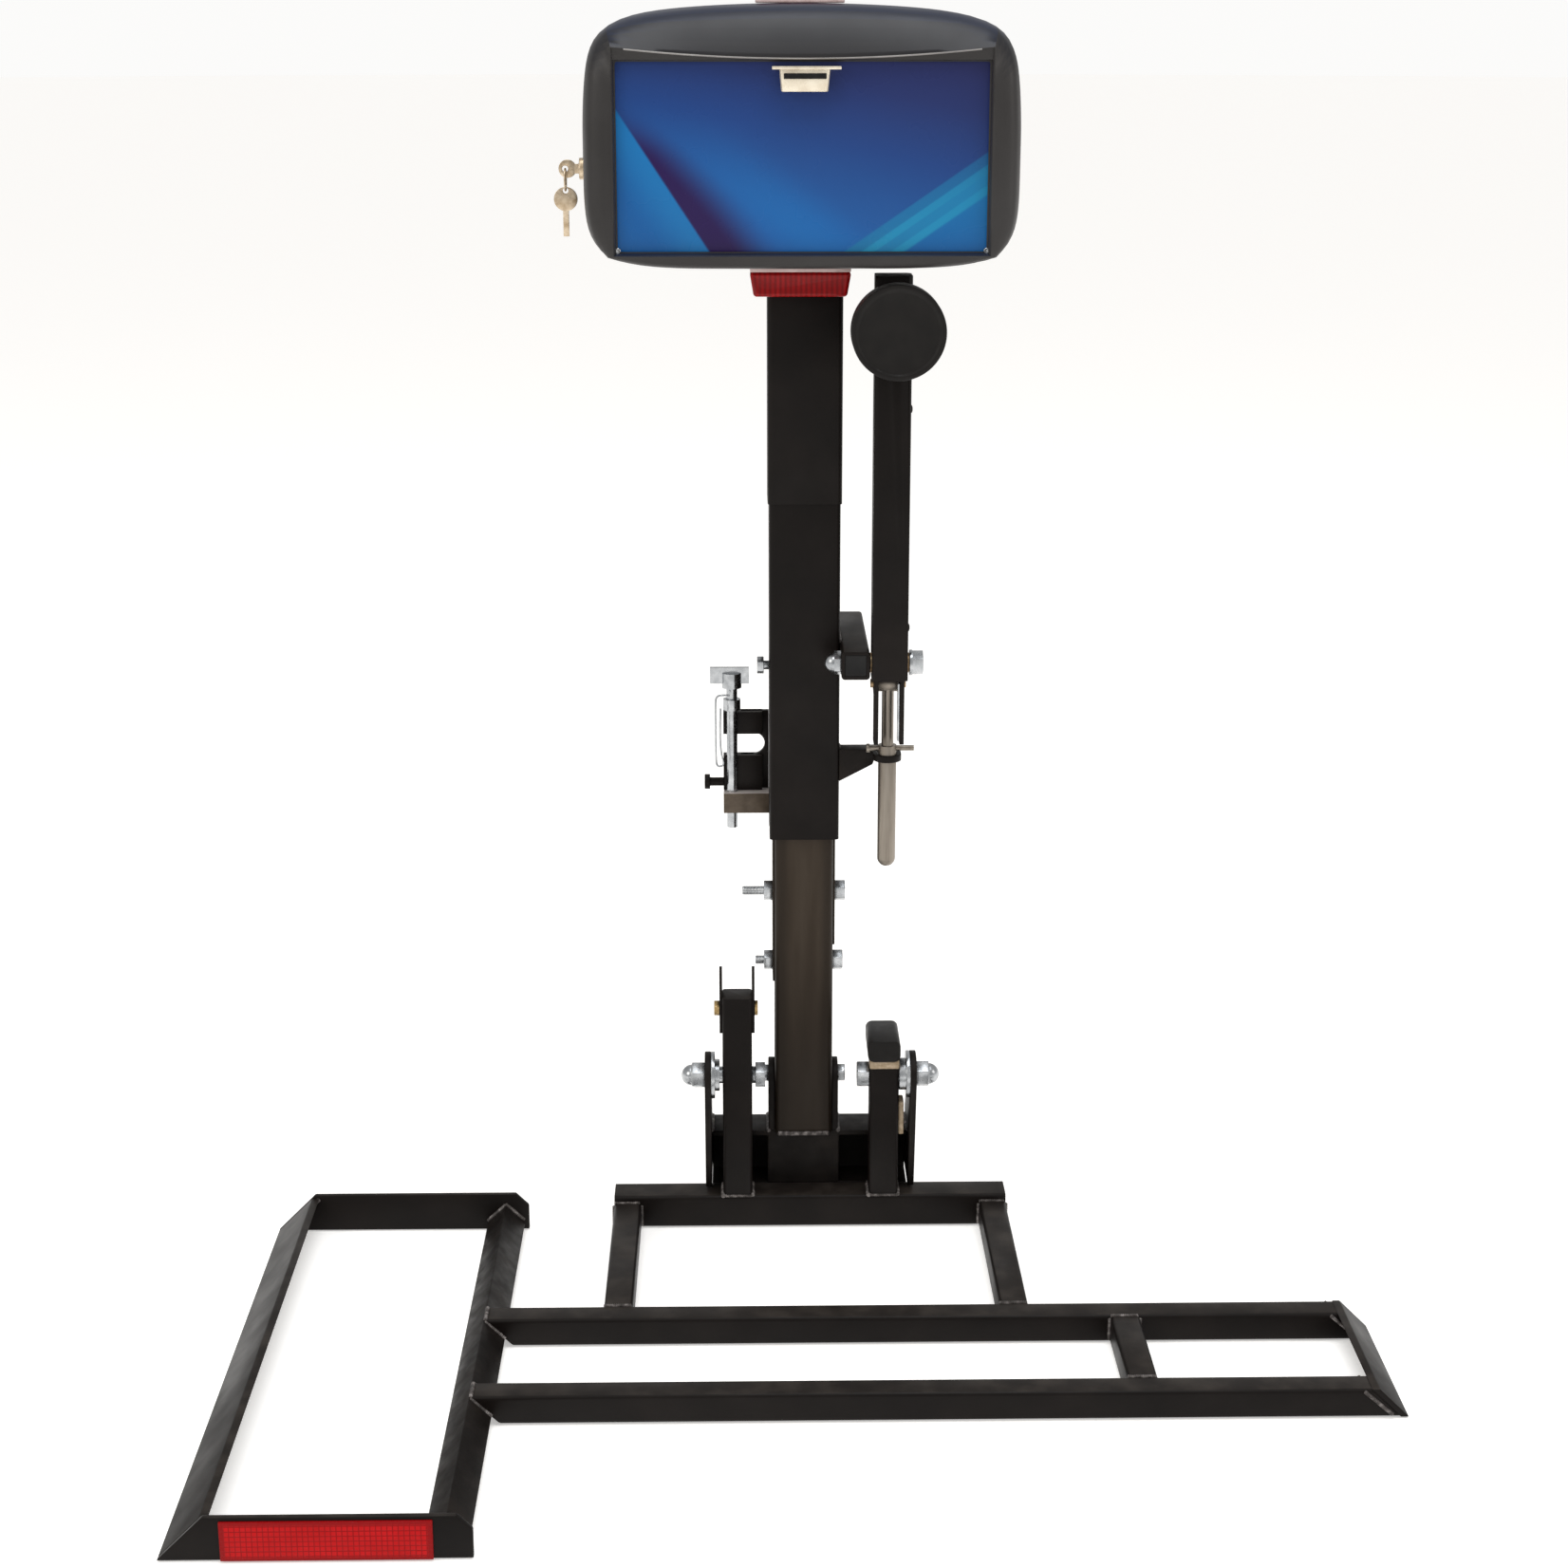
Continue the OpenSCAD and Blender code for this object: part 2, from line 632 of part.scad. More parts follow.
module left_upright() color("#1c1a19") at_pin() {
    upright(left_upright_x, left_upright_top - 3);
    block([left_upright_x, cross_front, left_upright_top - 3],
        [left_upright_x + upright_side, cross_front + upright_side, left_upright_top]);
}

module right_upright() color("#1c1a19") at_pin() upright(right_upright_x, right_upright_top);

module prong_plates() color("#3a3835") at_pin()
    for (x0 = [left_upright_x - prong_thick, left_upright_x + upright_side]) difference() {
        plate_yz(x0, x0 + prong_thick) union() {
            translate([pivot_y - 8, 195]) square([16, prong_top - 195 - 8]);
            translate([pivot_y, prong_top - 8]) circle(r = 8);
        }
        rod_x(x0 - eps, x0 + prong_thick + eps, pivot_y, prong_bolt_z, 4 + bolt_gap);
    }

module prong_bolt() color("#8a7448") at_pin() {
    left = left_upright_x - prong_thick;
    right = left_upright_x + upright_side + prong_thick;
    rod_x(left - 1, right + 3, pivot_y, prong_bolt_z, 4);
    hex_x(left - 5, left, pivot_y, prong_bolt_z, 13);
    difference() {
        hex_x(right, right + 3, pivot_y, prong_bolt_z, 13);
        rod_x(right - eps, right + 4, pivot_y, prong_bolt_z, 3.9);
    }
}

module lift_pad() color("#121111") at_pin()
    block([right_upright_x - 2, cross_front - 2.5, right_upright_top + 8],
        [right_upright_x + upright_side + 1, -2, lift_pad_top]);

module pad_strips() color("#a58f74") at_pin() {
    block([right_upright_x, cross_front, right_upright_top],
        [right_upright_x + upright_side, cross_front + upright_side, right_upright_top + 8]);
    block([right_upright_x + upright_side, pivot_y - 9, 92],
        [right_upright_x + upright_side + 5, pivot_y + 9, 125]);
}

module cross_tube() color("#1c1a19") at_pin() translate([cross_left, cross_front, 0])
    tube([cross_length, cross_side, cross_side], rail_wall, 0);

module legs() color("#1c1a19") at_pin() for (x0 = [cross_left, cross_right - rail_side])
    translate([x0, rear_rail_back, 0]) tube([rail_side, leg_gap, rail_side], rail_wall, 1);

// A rail runs from the ridge's sloping face to the end ramp's sloping face
module rail(y0) intersection() {
    translate([ridge_x, y0, 0]) tube([rail_reach - ridge_x, rail_side, rail_side], rail_wall, 0);
    plate_xz(y0 - eps, y0 + rail_side + eps)
        polygon([[ridge_x, ridge_z], [ridge_x + ridge_z, 0],
            [rail_reach - end_plate * sqrt(2), 0],
            [rail_reach - rail_side - end_plate * sqrt(2), rail_side]]);
}

module rear_rail() color("#1c1a19") at_pin() rail(rear_rail_front);
module front_rail() color("#1c1a19") at_pin() rail(front_rail_front);

module crossbar() color("#1c1a19") at_pin() translate([crossbar_x, front_rail_back, 0])
    tube([rail_side, rail_gap, rail_side], rail_wall, 1);

module end_ramp() color("#1c1a19") at_pin() plate_xz(front_rail_front, rear_rail_back)
    polygon([[rail_reach - end_plate * sqrt(2), 0], [rail_reach, 0],
        [rail_reach - rail_side, rail_side], [rail_reach - rail_side - end_plate * sqrt(2), rail_side]]);

module pan_bars() color("#1c1a19") at_pin() for (y0 = [pan_front, pan_back - pan_plate])
    plate_xz(y0, y0 + pan_plate) polygon([[ramp_foot_x, 0], [pan_right, 0], [pan_right, pan_height - 12],
        [pan_right - 12, pan_height], [ramp_foot_x + pan_height, pan_height]]);

module pan_ramp() color("#1c1a19") at_pin() plate_xz(pan_front + pan_plate, pan_back - pan_plate)
    polygon([[ramp_foot_x, 0], [ramp_foot_x + pan_plate * sqrt(2), 0],
        [ramp_foot_x + pan_height - 3 + pan_plate * sqrt(2), pan_height - 3],
        [ramp_foot_x + pan_height - 3, pan_height - 3]]);

module ridge() color("#2b2622") at_pin() plate_xz(pan_front + pan_plate, pan_back - pan_plate)
    polygon([[ridge_x - ridge_drop, ridge_z - ridge_drop], [ridge_x, ridge_z],
        [ridge_x + ridge_drop, ridge_z - ridge_drop],
        [ridge_x + ridge_drop - ridge_thick * sqrt(2), ridge_z - ridge_drop],
        [ridge_x, ridge_z - ridge_thick * sqrt(2)],
        [ridge_x - ridge_drop + ridge_thick * sqrt(2), ridge_z - ridge_drop]]);

module reflector() color("#c0141a") at_pin()
    block([-449, pan_front - 2.5, 0.5], [-290, pan_front, 33.2]);

// ---- Hold-down arm ----
module arm_tube() color("#1c1a19") at_pin() difference() {
    translate([arm_x - arm_half, arm_y - arm_half, arm_bottom]) union() {
        tube([arm_side, arm_side, arm_z + arm_height - 3 - arm_bottom], arm_wall, 2);
        translate([0, 0, arm_z + arm_height - 3 - arm_bottom]) cube([arm_side, arm_side, 3]);
    }
    rod_x(arm_x - arm_side, arm_x + arm_side, arm_y, arm_z, bush_r + bolt_gap);
    translate([pad_x, arm_y - arm_half - eps, arm_z + pad_height]) rotate([-90, 0, 0])
        cylinder(r = stem_r + bolt_gap, h = arm_wall + 2 * eps);
}

module arm_cheeks() color("#2a2725") at_pin()
    for (x0 = [arm_x - cheek_inset, arm_x + cheek_inset - cheek_thick]) difference() {
        plate_yz(x0, x0 + cheek_thick) union() {
            translate([arm_y - 8, arm_z - 74]) square([16, 74]);
            translate([arm_y, arm_z]) circle(r = 13);
            translate([crank_y, crank_z]) circle(r = 7);
            polygon([[arm_y, arm_z - 12], [crank_y - 4, arm_bottom + 8], [crank_y, crank_z + 6.9],
                [crank_y, crank_z - 7], [arm_y, crank_z - 12]]);
        }
        rod_x(x0 - eps, x0 + cheek_thick + eps, arm_y, arm_z, bush_r + bolt_gap);
        rod_x(x0 - eps, x0 + cheek_thick + eps, crank_y, crank_z, rod_pin_r + bolt_gap);
    }

module arm_bush() color("#9c8450") at_pin() {
    difference() {
        rod_x(mast_half + bracket_side + 0.3, arm_x + arm_half + 1.7, arm_y, arm_z, bush_r);
        rod_x(mast_half, arm_x + arm_side, arm_y, arm_z, arm_bolt_r + run_gap);
    }
    rod_x(arm_x - arm_half, arm_x + arm_half, crank_y, crank_z, rod_pin_r);
}

module pad_stem() color("#c4c7cb") at_pin()
    translate([pad_x, arm_y - arm_half + arm_wall, arm_z + pad_height]) rotate([90, 0, 0]) {
        cylinder(r = stem_r, h = arm_wall + 27 + 5);
        translate([0, 0, arm_wall]) cylinder(d = 17 / cos(30), h = 8, $fn = 6);
        translate([0, 0, arm_wall + 16]) cylinder(r = 9, h = 10.5);
        translate([0, 0, -6]) cylinder(d = 15 / cos(30), h = 6, $fn = 6);
    }

module pad() color("#141313") at_pin() translate([pad_x, pad_back, arm_z + pad_height])
    rotate([90, 0, 0]) difference() {
        rotate_extrude() polygon([[0, 0], [pad_d / 2 - 3, 0], [pad_d / 2, 3], [pad_d / 2, pad_thick - 3],
            [pad_d / 2 - 3, pad_thick], [0, pad_thick]]);
        translate([0, 0, -eps]) cylinder(r = stem_r + run_gap, h = 7);
    }

module push_rod() color("#c9c3b6") at_pin() difference() {
    union() {
        translate([arm_x, crank_y, thick_top - 1]) cylinder(r = thin_r, h = crank_z - thick_top);
        rod_x(arm_x - 9, arm_x + 9, crank_y, crank_z, 7.5);
        translate([arm_x, crank_y, crank_z - push_length + push_d / 2])
            cylinder(r = push_d / 2, h = thick_top - crank_z + push_length - push_d / 2);
        translate([arm_x, crank_y, crank_z - push_length + push_d / 2]) sphere(r = push_d / 2);
        rod_x(arm_x - 18, arm_x + 24, crank_y, retainer_z, 2.5);
        rod_x(arm_x - 19, arm_x - 16, crank_y, retainer_z, 4);
    }
    rod_x(arm_x - 10, arm_x + 10, crank_y, crank_z, rod_pin_r + run_gap);
}

// ---- Key ----
module key() color("#d2c7a8") at_pin() {
    rod_x(head_left - 4.5, head_left + 11, lock_y, lock_z, 5);
    block([head_left - 8, lock_y - 1, lock_z - 4], [head_left - 4, lock_y + 1, lock_z + 4]);
    plate_xz(lock_y - 1, lock_y + 1) difference() {
        translate([head_left - 14, lock_z]) circle(r = 7.5);
        translate([head_left - 16, lock_z]) circle(r = 2.6);
    }
}

// Second key, hanging on a ring from the first one's bow
module spare_key() color("#d2c7a8") at_pin() translate([head_left - 16, lock_y, lock_z]) {
    ring_r = 9;
    translate([0, 0, -ring_r]) rotate([0, 90, 0]) rotate_extrude() translate([ring_r, 0]) circle(r = 0.8);
    plate_xz(-1, 1) difference() {
        union() {
            translate([0, -2 * ring_r - 7]) circle(r = 10);
            translate([-2.5, -56]) square([5, 24]);
        }
        translate([0, -2 * ring_r]) circle(r = 2.4);
    }
}

hitch_bar();
outer_mast();
mast_sleeve();
guide_liners();
head_frame();
thrust_bearing();
gearbox();
motor();
control_box();
rear_cover();
front_cover();
sign_plate();
plate_lamp();
upper_light();
lower_light();
lock_barrel();
power_inlet();
arm_bracket();
arm_pivot_bolt();
guide_bracket();
clamp_bracket();
clamp_bar();
clamp_screw();
side_bolts();
lead_screw();
shaft_coupling();
inner_mast();
wear_straps();
nut_plug();
drive_nut();
cross_bolts();
foot_plates();
base_channel();
base_ears();
pivot_bolts();
pivot_washers();
left_upright();
prong_plates();
prong_bolt();
right_upright();
lift_pad();
pad_strips();
cross_tube();
legs();
rear_rail();
front_rail();
crossbar();
end_ramp();
pan_bars();
pan_ramp();
ridge();
reflector();
arm_tube();
arm_cheeks();
arm_bush();
pad_stem();
pad();
push_rod();
key();
spare_key();
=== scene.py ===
# %% [markdown]
# # A scooter lift that hangs on a vehicle
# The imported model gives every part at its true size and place. This lesson puts the looks around it:
# rounded steel tubes, a moulded plastic head, a printed plate, lights, bolts, welds and worn finishes.
# The first cell loads the model, and keeps the box that the finished looks must stay inside.

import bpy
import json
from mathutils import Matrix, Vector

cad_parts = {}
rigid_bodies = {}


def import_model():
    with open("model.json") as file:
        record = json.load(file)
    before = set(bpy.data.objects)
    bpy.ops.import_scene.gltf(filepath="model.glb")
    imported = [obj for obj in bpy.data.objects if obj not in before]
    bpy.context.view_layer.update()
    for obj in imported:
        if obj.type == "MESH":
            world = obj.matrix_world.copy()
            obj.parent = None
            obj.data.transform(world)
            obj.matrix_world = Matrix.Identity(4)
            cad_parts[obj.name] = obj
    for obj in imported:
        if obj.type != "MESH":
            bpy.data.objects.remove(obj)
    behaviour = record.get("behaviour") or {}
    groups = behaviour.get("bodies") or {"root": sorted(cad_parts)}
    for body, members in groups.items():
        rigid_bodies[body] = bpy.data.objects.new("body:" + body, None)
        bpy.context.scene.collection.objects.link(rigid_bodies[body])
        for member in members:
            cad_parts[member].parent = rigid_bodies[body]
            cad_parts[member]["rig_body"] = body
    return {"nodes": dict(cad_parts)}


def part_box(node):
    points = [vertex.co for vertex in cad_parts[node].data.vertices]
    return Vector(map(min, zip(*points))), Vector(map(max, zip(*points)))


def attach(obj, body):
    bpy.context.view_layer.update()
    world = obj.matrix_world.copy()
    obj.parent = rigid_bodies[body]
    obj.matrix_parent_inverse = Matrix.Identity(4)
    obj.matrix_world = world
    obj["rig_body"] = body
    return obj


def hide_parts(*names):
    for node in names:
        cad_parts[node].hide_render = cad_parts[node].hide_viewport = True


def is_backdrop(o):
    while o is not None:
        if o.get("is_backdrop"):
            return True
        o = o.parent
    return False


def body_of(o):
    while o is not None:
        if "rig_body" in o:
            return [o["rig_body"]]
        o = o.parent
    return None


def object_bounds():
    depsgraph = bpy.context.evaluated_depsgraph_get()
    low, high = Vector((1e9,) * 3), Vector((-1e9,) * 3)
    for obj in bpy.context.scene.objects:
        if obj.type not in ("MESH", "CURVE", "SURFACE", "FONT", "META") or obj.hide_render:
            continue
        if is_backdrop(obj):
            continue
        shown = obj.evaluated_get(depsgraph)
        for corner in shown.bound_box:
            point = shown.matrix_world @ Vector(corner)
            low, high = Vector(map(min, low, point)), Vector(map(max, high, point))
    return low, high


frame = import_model()
cad_low, cad_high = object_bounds()
print("model box in metres:", tuple(cad_low), tuple(cad_high))

# %% [markdown]
# The rest of the lesson needs Blender's own module, its mesh editing module, and some plain maths.

# %% The modules
import json
import math

import bmesh
import bpy
from mathutils import Vector

MM = 0.001
ground = cad_low.z
print("ground at", round(ground, 4))

# %% [markdown]
# ## The camera
# The camera comes first, because everything else is judged through it. It stands about two and a half
# metres in front of the mast, at the height of the head, and looks down by 16.5 degrees.

# %% Camera
looks_down, turned_right = 16.50, 0.95
camera_data = bpy.data.cameras.new("camera")
camera_data.sensor_width = 36
camera_data.lens = 60.87
camera_data.clip_end = 200
camera = bpy.data.objects.new("camera", camera_data)
bpy.context.scene.collection.objects.link(camera)
camera.location = (-0.0570, -2.61225, 0.6690)
camera.rotation_euler = (math.radians(90 - looks_down), 0, math.radians(-turned_right))
bpy.context.scene.camera = camera
print("camera at", tuple(camera.location))

# %% [markdown]
# ## Small helpers
# An operator acts on everything that is selected, and loading leaves the whole model selected. So each
# step starts by putting the selection away and picking one object.

# %% Picking objects, faces and edges
def put_away():
    if bpy.context.object and bpy.context.object.mode != "OBJECT":
        bpy.ops.object.mode_set(mode="OBJECT")
    bpy.ops.object.select_all(action="DESELECT")


def pick(piece):
    put_away()
    piece.select_set(True)
    bpy.context.view_layer.objects.active = piece


def edit(piece, kind="FACE"):
    pick(piece)
    bpy.ops.object.mode_set(mode="EDIT")
    bpy.ops.mesh.select_mode(type=kind)
    bpy.ops.mesh.select_all(action="DESELECT")


def done():
    bpy.ops.object.mode_set(mode="OBJECT")


def select_faces(piece, test):
    edit(piece, "FACE")
    mesh = bmesh.from_edit_mesh(piece.data)
    for face in mesh.faces:
        face.select_set(test(face))
    bmesh.update_edit_mesh(piece.data)


def select_edges(piece, test):
    edit(piece, "EDGE")
    mesh = bmesh.from_edit_mesh(piece.data)
    for edge in mesh.edges:
        if len(edge.link_faces) == 2 and test(edge):
            edge.select_set(True)
    bmesh.update_edit_mesh(piece.data)


# %% [markdown]
# A finished piece keeps its place in its mesh, with its object at the origin. `settle` does that. A
# block and a rod are the two usual starts. They are always shaped further afterwards.

# %% Starting shapes
def settle(piece, name):
    pick(piece)
    bpy.ops.object.transform_apply(location=True, rotation=True, scale=True)
    piece.name = name
    piece.data.name = name
    return piece


def block(name, low, high):
    put_away()
    low, high = Vector(low), Vector(high)
    bpy.ops.mesh.primitive_cube_add(size=1, location=(low + high) / 2, scale=high - low)
    return settle(bpy.context.object, name)


def rod(name, start, end, radius, sides=32):
    put_away()
    start, end = Vector(start), Vector(end)
    turn = (end - start).to_track_quat("Z", "Y").to_euler()
    bpy.ops.mesh.primitive_cylinder_add(vertices=sides, radius=radius, depth=(end - start).length,
        location=(start + end) / 2, rotation=turn)
    return settle(bpy.context.object, name)


# %% [markdown]
# Real edges are never perfectly sharp, and the small round on an edge is what catches the light.
# `round_sharp` rounds every sharp edge with a Bevel modifier. `smooth` hides the facets of curved
# faces.

# %% Rounding and smoothing
def round_sharp(piece, width, steps=2, angle=38):
    pick(piece)
    bevel = piece.modifiers.new("bevel", "BEVEL")
    bevel.width = width
    bevel.segments = steps
    bevel.limit_method = "ANGLE"
    bevel.angle_limit = math.radians(angle)
    bpy.ops.object.modifier_apply(modifier=bevel.name)


def smooth(piece, angle=40):
    pick(piece)
    bpy.ops.object.shade_smooth_by_angle(angle=math.radians(angle))


def join(name, pieces):
    put_away()
    for piece in pieces:
        piece.select_set(True)
    bpy.context.view_layer.objects.active = pieces[0]
    bpy.ops.object.join()
    pieces[0].name = name
    pieces[0].data.name = name
    return pieces[0]


# %% [markdown]
# A few more steps come back again and again: picking the faces that look one way, an inset that is
# pushed in or out, a bevel on the picked edges, and easing every edge of a finished shape.

# %% Pressing, bevelling and easing
def facing(axis, way):
    return lambda face: face.normal[axis] * way > 0.9


def press(border, push):
    bpy.ops.mesh.inset(thickness=border)
    bpy.ops.transform.translate(value=push)


def bevel_picked(radius, steps, clamp=False):
    bpy.ops.mesh.bevel(offset=radius, segments=steps, affect="EDGES", clamp_overlap=clamp)
    done()


def ease_all(piece, width, steps=2, angle=38):
    round_sharp(piece, width, steps, angle)
    smooth(piece)


print("helpers for shapes ready")

# %% [markdown]
# ## The stage
# A pale floor and a pale sky keep the eye on the lift. The floor is a wide disc, inset once so that its
# far rim is a ring of its own. It glows a little, so that it meets the sky without a line.

# %% Floor and sky
floor_radius, floor_gap = 40, 0.0012
put_away()
bpy.ops.mesh.primitive_circle_add(vertices=96, radius=floor_radius, fill_type="NGON",
    location=(0, 0, ground - floor_gap))
floor = settle(bpy.context.object, "floor")
select_faces(floor, lambda face: True)
bpy.ops.mesh.inset(thickness=6)
done()
floor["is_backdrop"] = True


def even(shader, numbers):
    for socket, number in numbers.items():
        shader.inputs[socket].default_value = number


paper = bpy.data.materials.new("floor_paper")
paper.use_nodes = True
even(paper.node_tree.nodes["Principled BSDF"], {"Base Color": (0.90, 0.885, 0.865, 1), "Roughness": 0.9,
    "Emission Color": (1, 0.99, 0.975, 1), "Emission Strength": 0.42})
floor.data.materials.append(paper)

sky = bpy.data.worlds.new("sky")
bpy.context.scene.world = sky
sky.use_nodes = True
nodes, links = sky.node_tree.nodes, sky.node_tree.links
even(nodes["Background"], {"Color": (0.97, 0.965, 0.955, 1)})
seen_power = nodes.new("ShaderNodeMapRange")
even(seen_power, {"To Min": 0.62, "To Max": 1.0})
links.new(nodes.new("ShaderNodeLightPath").outputs["Is Camera Ray"], seen_power.inputs["Value"])
links.new(seen_power.outputs["Result"], nodes["Background"].inputs["Strength"])
bpy.context.scene.view_settings.view_transform = "Standard"
print("floor radius", floor_radius, "m")

# %% [markdown]
# Three large soft lamps do the rest: one high above for the bright lines along the upper edges, one
# from the left front, and a weaker one from the right.

# %% Lamps
middle = (cad_low + cad_high) / 2


def lamp(name, place, size, power, colour):
    data = bpy.data.lights.new(name, "AREA")
    data.shape = "SQUARE"
    data.size = size
    data.energy = power
    data.color = colour
    thing = bpy.data.objects.new(name, data)
    bpy.context.scene.collection.objects.link(thing)
    thing.location = place
    thing.rotation_euler = (middle - Vector(place)).to_track_quat("-Z", "Y").to_euler()


lamp("lamp_top", (0.1, -0.9, 3.2), 2.2, 70, (0.96, 0.98, 1.0))
lamp("lamp_left", (-2.6, -2.2, 1.7), 1.6, 28, (1.0, 0.96, 0.9))
lamp("lamp_right", (2.8, -1.6, 1.2), 1.4, 14, (1.0, 0.95, 0.9))
print("three lamps")

# %% [markdown]
# ## Finishes
# Every finish is made of the same few things: patches of slightly different colour, patches of
# different gloss, and a very fine relief. They all read Object coordinates, which are metres on this
# model, so a patch has a real size. Each of these helpers adds a node or two.

# %% Helpers for finishes
finishes = {}


def new_finish(name):
    finishes[name] = bpy.data.materials.new(name)
    finishes[name].use_nodes = True
    tree = finishes[name].node_tree
    place = tree.nodes.new("ShaderNodeTexCoord").outputs["Object"]
    return tree, tree.nodes["Principled BSDF"], place


def plug_in(tree, socket, value):
    if isinstance(value, tuple):
        socket.default_value = (*value, 1)
    elif isinstance(value, (int, float)):
        socket.default_value = value
    else:
        tree.links.new(value, socket)


def patches(tree, place, size_mm, detail=3, stretch=(1, 1, 1)):
    scale = tree.nodes.new("ShaderNodeMapping")
    even(scale, {"Scale": [1 / (size_mm * MM * s) for s in stretch]})
    noise = tree.nodes.new("ShaderNodeTexNoise")
    even(noise, {"Scale": 1, "Detail": detail})
    tree.links.new(place, scale.inputs["Vector"])
    tree.links.new(scale.outputs["Vector"], noise.inputs["Vector"])
    return noise.outputs["Fac"]


def shades(tree, amount, stops):
    ramp = tree.nodes.new("ShaderNodeValToRGB")
    while len(ramp.color_ramp.elements) < len(stops):
        ramp.color_ramp.elements.new(0.5)
    for element, (at, colour) in zip(ramp.color_ramp.elements, stops):
        element.position = at
        element.color = (*colour, 1)
    tree.links.new(amount, ramp.inputs["Fac"])
    return ramp.outputs["Color"]


def reckon(tree, kind, first, second):
    node = tree.nodes.new("ShaderNodeMath")
    node.operation = kind
    plug_in(tree, node.inputs[0], first)
    plug_in(tree, node.inputs[1], second)
    return node.outputs[0]


def product(tree, first, *others):
    for other in others:
        first = reckon(tree, "MULTIPLY", first, other)
    return first


def between(tree, value, low, high, to_low=0.0, to_high=1.0, soft=True):
    node = tree.nodes.new("ShaderNodeMapRange")
    node.interpolation_type = "SMOOTHSTEP" if soft else "LINEAR"
    even(node, {"From Min": low, "From Max": high, "To Min": to_low, "To Max": to_high})
    tree.links.new(value, node.inputs["Value"])
    return node.outputs["Result"]


def blend(tree, amount, first, second):
    node = tree.nodes.new("ShaderNodeMix")
    node.data_type = "RGBA"
    tree.links.new(amount, node.inputs["Factor"])
    plug_in(tree, node.inputs[6], first)
    plug_in(tree, node.inputs[7], second)
    return node.outputs[2]


def axes(tree, place):
    node = tree.nodes.new("ShaderNodeSeparateXYZ")
    tree.links.new(place, node.inputs[0])
    return node.outputs


def facing_up(tree, low, high):
    normal = tree.nodes.new("ShaderNodeNewGeometry").outputs["True Normal"]
    return between(tree, axes(tree, normal)[2], low, high)


def relief(tree, shader, amount, height_mm):
    bump = tree.nodes.new("ShaderNodeBump")
    even(bump, {"Distance": height_mm * MM})
    tree.links.new(amount, bump.inputs["Height"])
    tree.links.new(bump.outputs["Normal"], shader.inputs["Normal"])


def paint(tree, shader, colour):
    tree.links.new(colour, shader.inputs["Base Color"])


# %% [markdown]
# `coated` puts those together for an ordinary finish: colours from dark to light, the size of the
# patches, the gloss from smooth to rough, and the fine relief. Uniform numbers go straight on the
# shader's sockets.

# %% An ordinary finish
def coated(name, colours, patch_mm, rough, grain_mm, height_mm, metallic=0.0, specular=0.5, coat=0.0,
        stretch=(1, 1, 1)):
    tree, shader, place = new_finish(name)
    stops = [(0.3 + 0.4 * i / (len(colours) - 1), colour) for i, colour in enumerate(colours)]
    colour = shades(tree, patches(tree, place, patch_mm, 5, stretch), stops)
    paint(tree, shader, colour)
    gloss = between(tree, patches(tree, place, patch_mm * 0.6, 3, stretch), 0.3, 0.7, *rough, soft=False)
    tree.links.new(gloss, shader.inputs["Roughness"])
    relief(tree, shader, patches(tree, place, grain_mm, 2, stretch), height_mm)
    even(shader, {"Metallic": metallic, "Specular IOR Level": specular, "Coat Weight": coat})
    return tree, shader, place, colour


print("helpers ready")

# %% [markdown]
# ### Powder coat
# The tubes are powder coated: a warm near-black with an orange-peel skin. Faces that look up are
# painted paler in patches, partly as dust and partly as a painted highlight, which makes their upper
# edges read as pale lines. Where the coat is thin it is a little browner.

# %% Black powder coat
tree, shader, place, colour = coated("black_paint", [(0.0042, 0.0030, 0.0025), (0.0060, 0.0043, 0.0036),
    (0.0085, 0.0062, 0.0052)], 60, (0.40, 0.52), 1.6, 0.04, specular=0.12)
# Faces that look up are painted paler in patches: partly dust, partly a painted highlight on upper edges.
dust_and_highlight_places = between(tree, patches(tree, place, 28, 6), 0.35, 0.75, 0.08, 0.34)
dust_and_highlight = product(tree, facing_up(tree, 0.8, 0.99), dust_and_highlight_places)
paint(tree, shader, blend(tree, dust_and_highlight, colour, (0.075, 0.062, 0.052)))
print("powder coat ready")

# %% [markdown]
# ### Plastics
# The head's covers are moulded plastic with a fine leather-like grain. They are grey, with painted shade
# that darkens the faces sloping upwards, and a painted blue reflection of a cool ceiling light where
# they look up. The small hard parts are blacker and plainer.

# %% Charcoal and black plastic
tree, shader, place, colour = coated("charcoal_plastic", [(0.022, 0.0200, 0.0195), (0.027, 0.0250, 0.0245),
    (0.032, 0.0300, 0.0295)], 90, (0.36, 0.46), 0.9, 0.03, specular=0.26)
# Painted shade on faces that slope upwards, then a painted blue reflection on faces that look up.
painted_slope_shade = blend(tree, facing_up(tree, 0.10, 0.60), colour, (0.0105, 0.0105, 0.0130))
paint(tree, shader, blend(tree, facing_up(tree, 0.62, 0.92), painted_slope_shade, (0.008, 0.012, 0.028)))

coated("black_plastic", [(0.006, 0.006, 0.006), (0.011, 0.011, 0.011)], 40, (0.4, 0.55), 0.8, 0.03,
    specular=0.2)
coated("nylon", [(0.55, 0.52, 0.44), (0.66, 0.63, 0.55)], 25, (0.4, 0.55), 0.7, 0.02)
print("plastics ready")
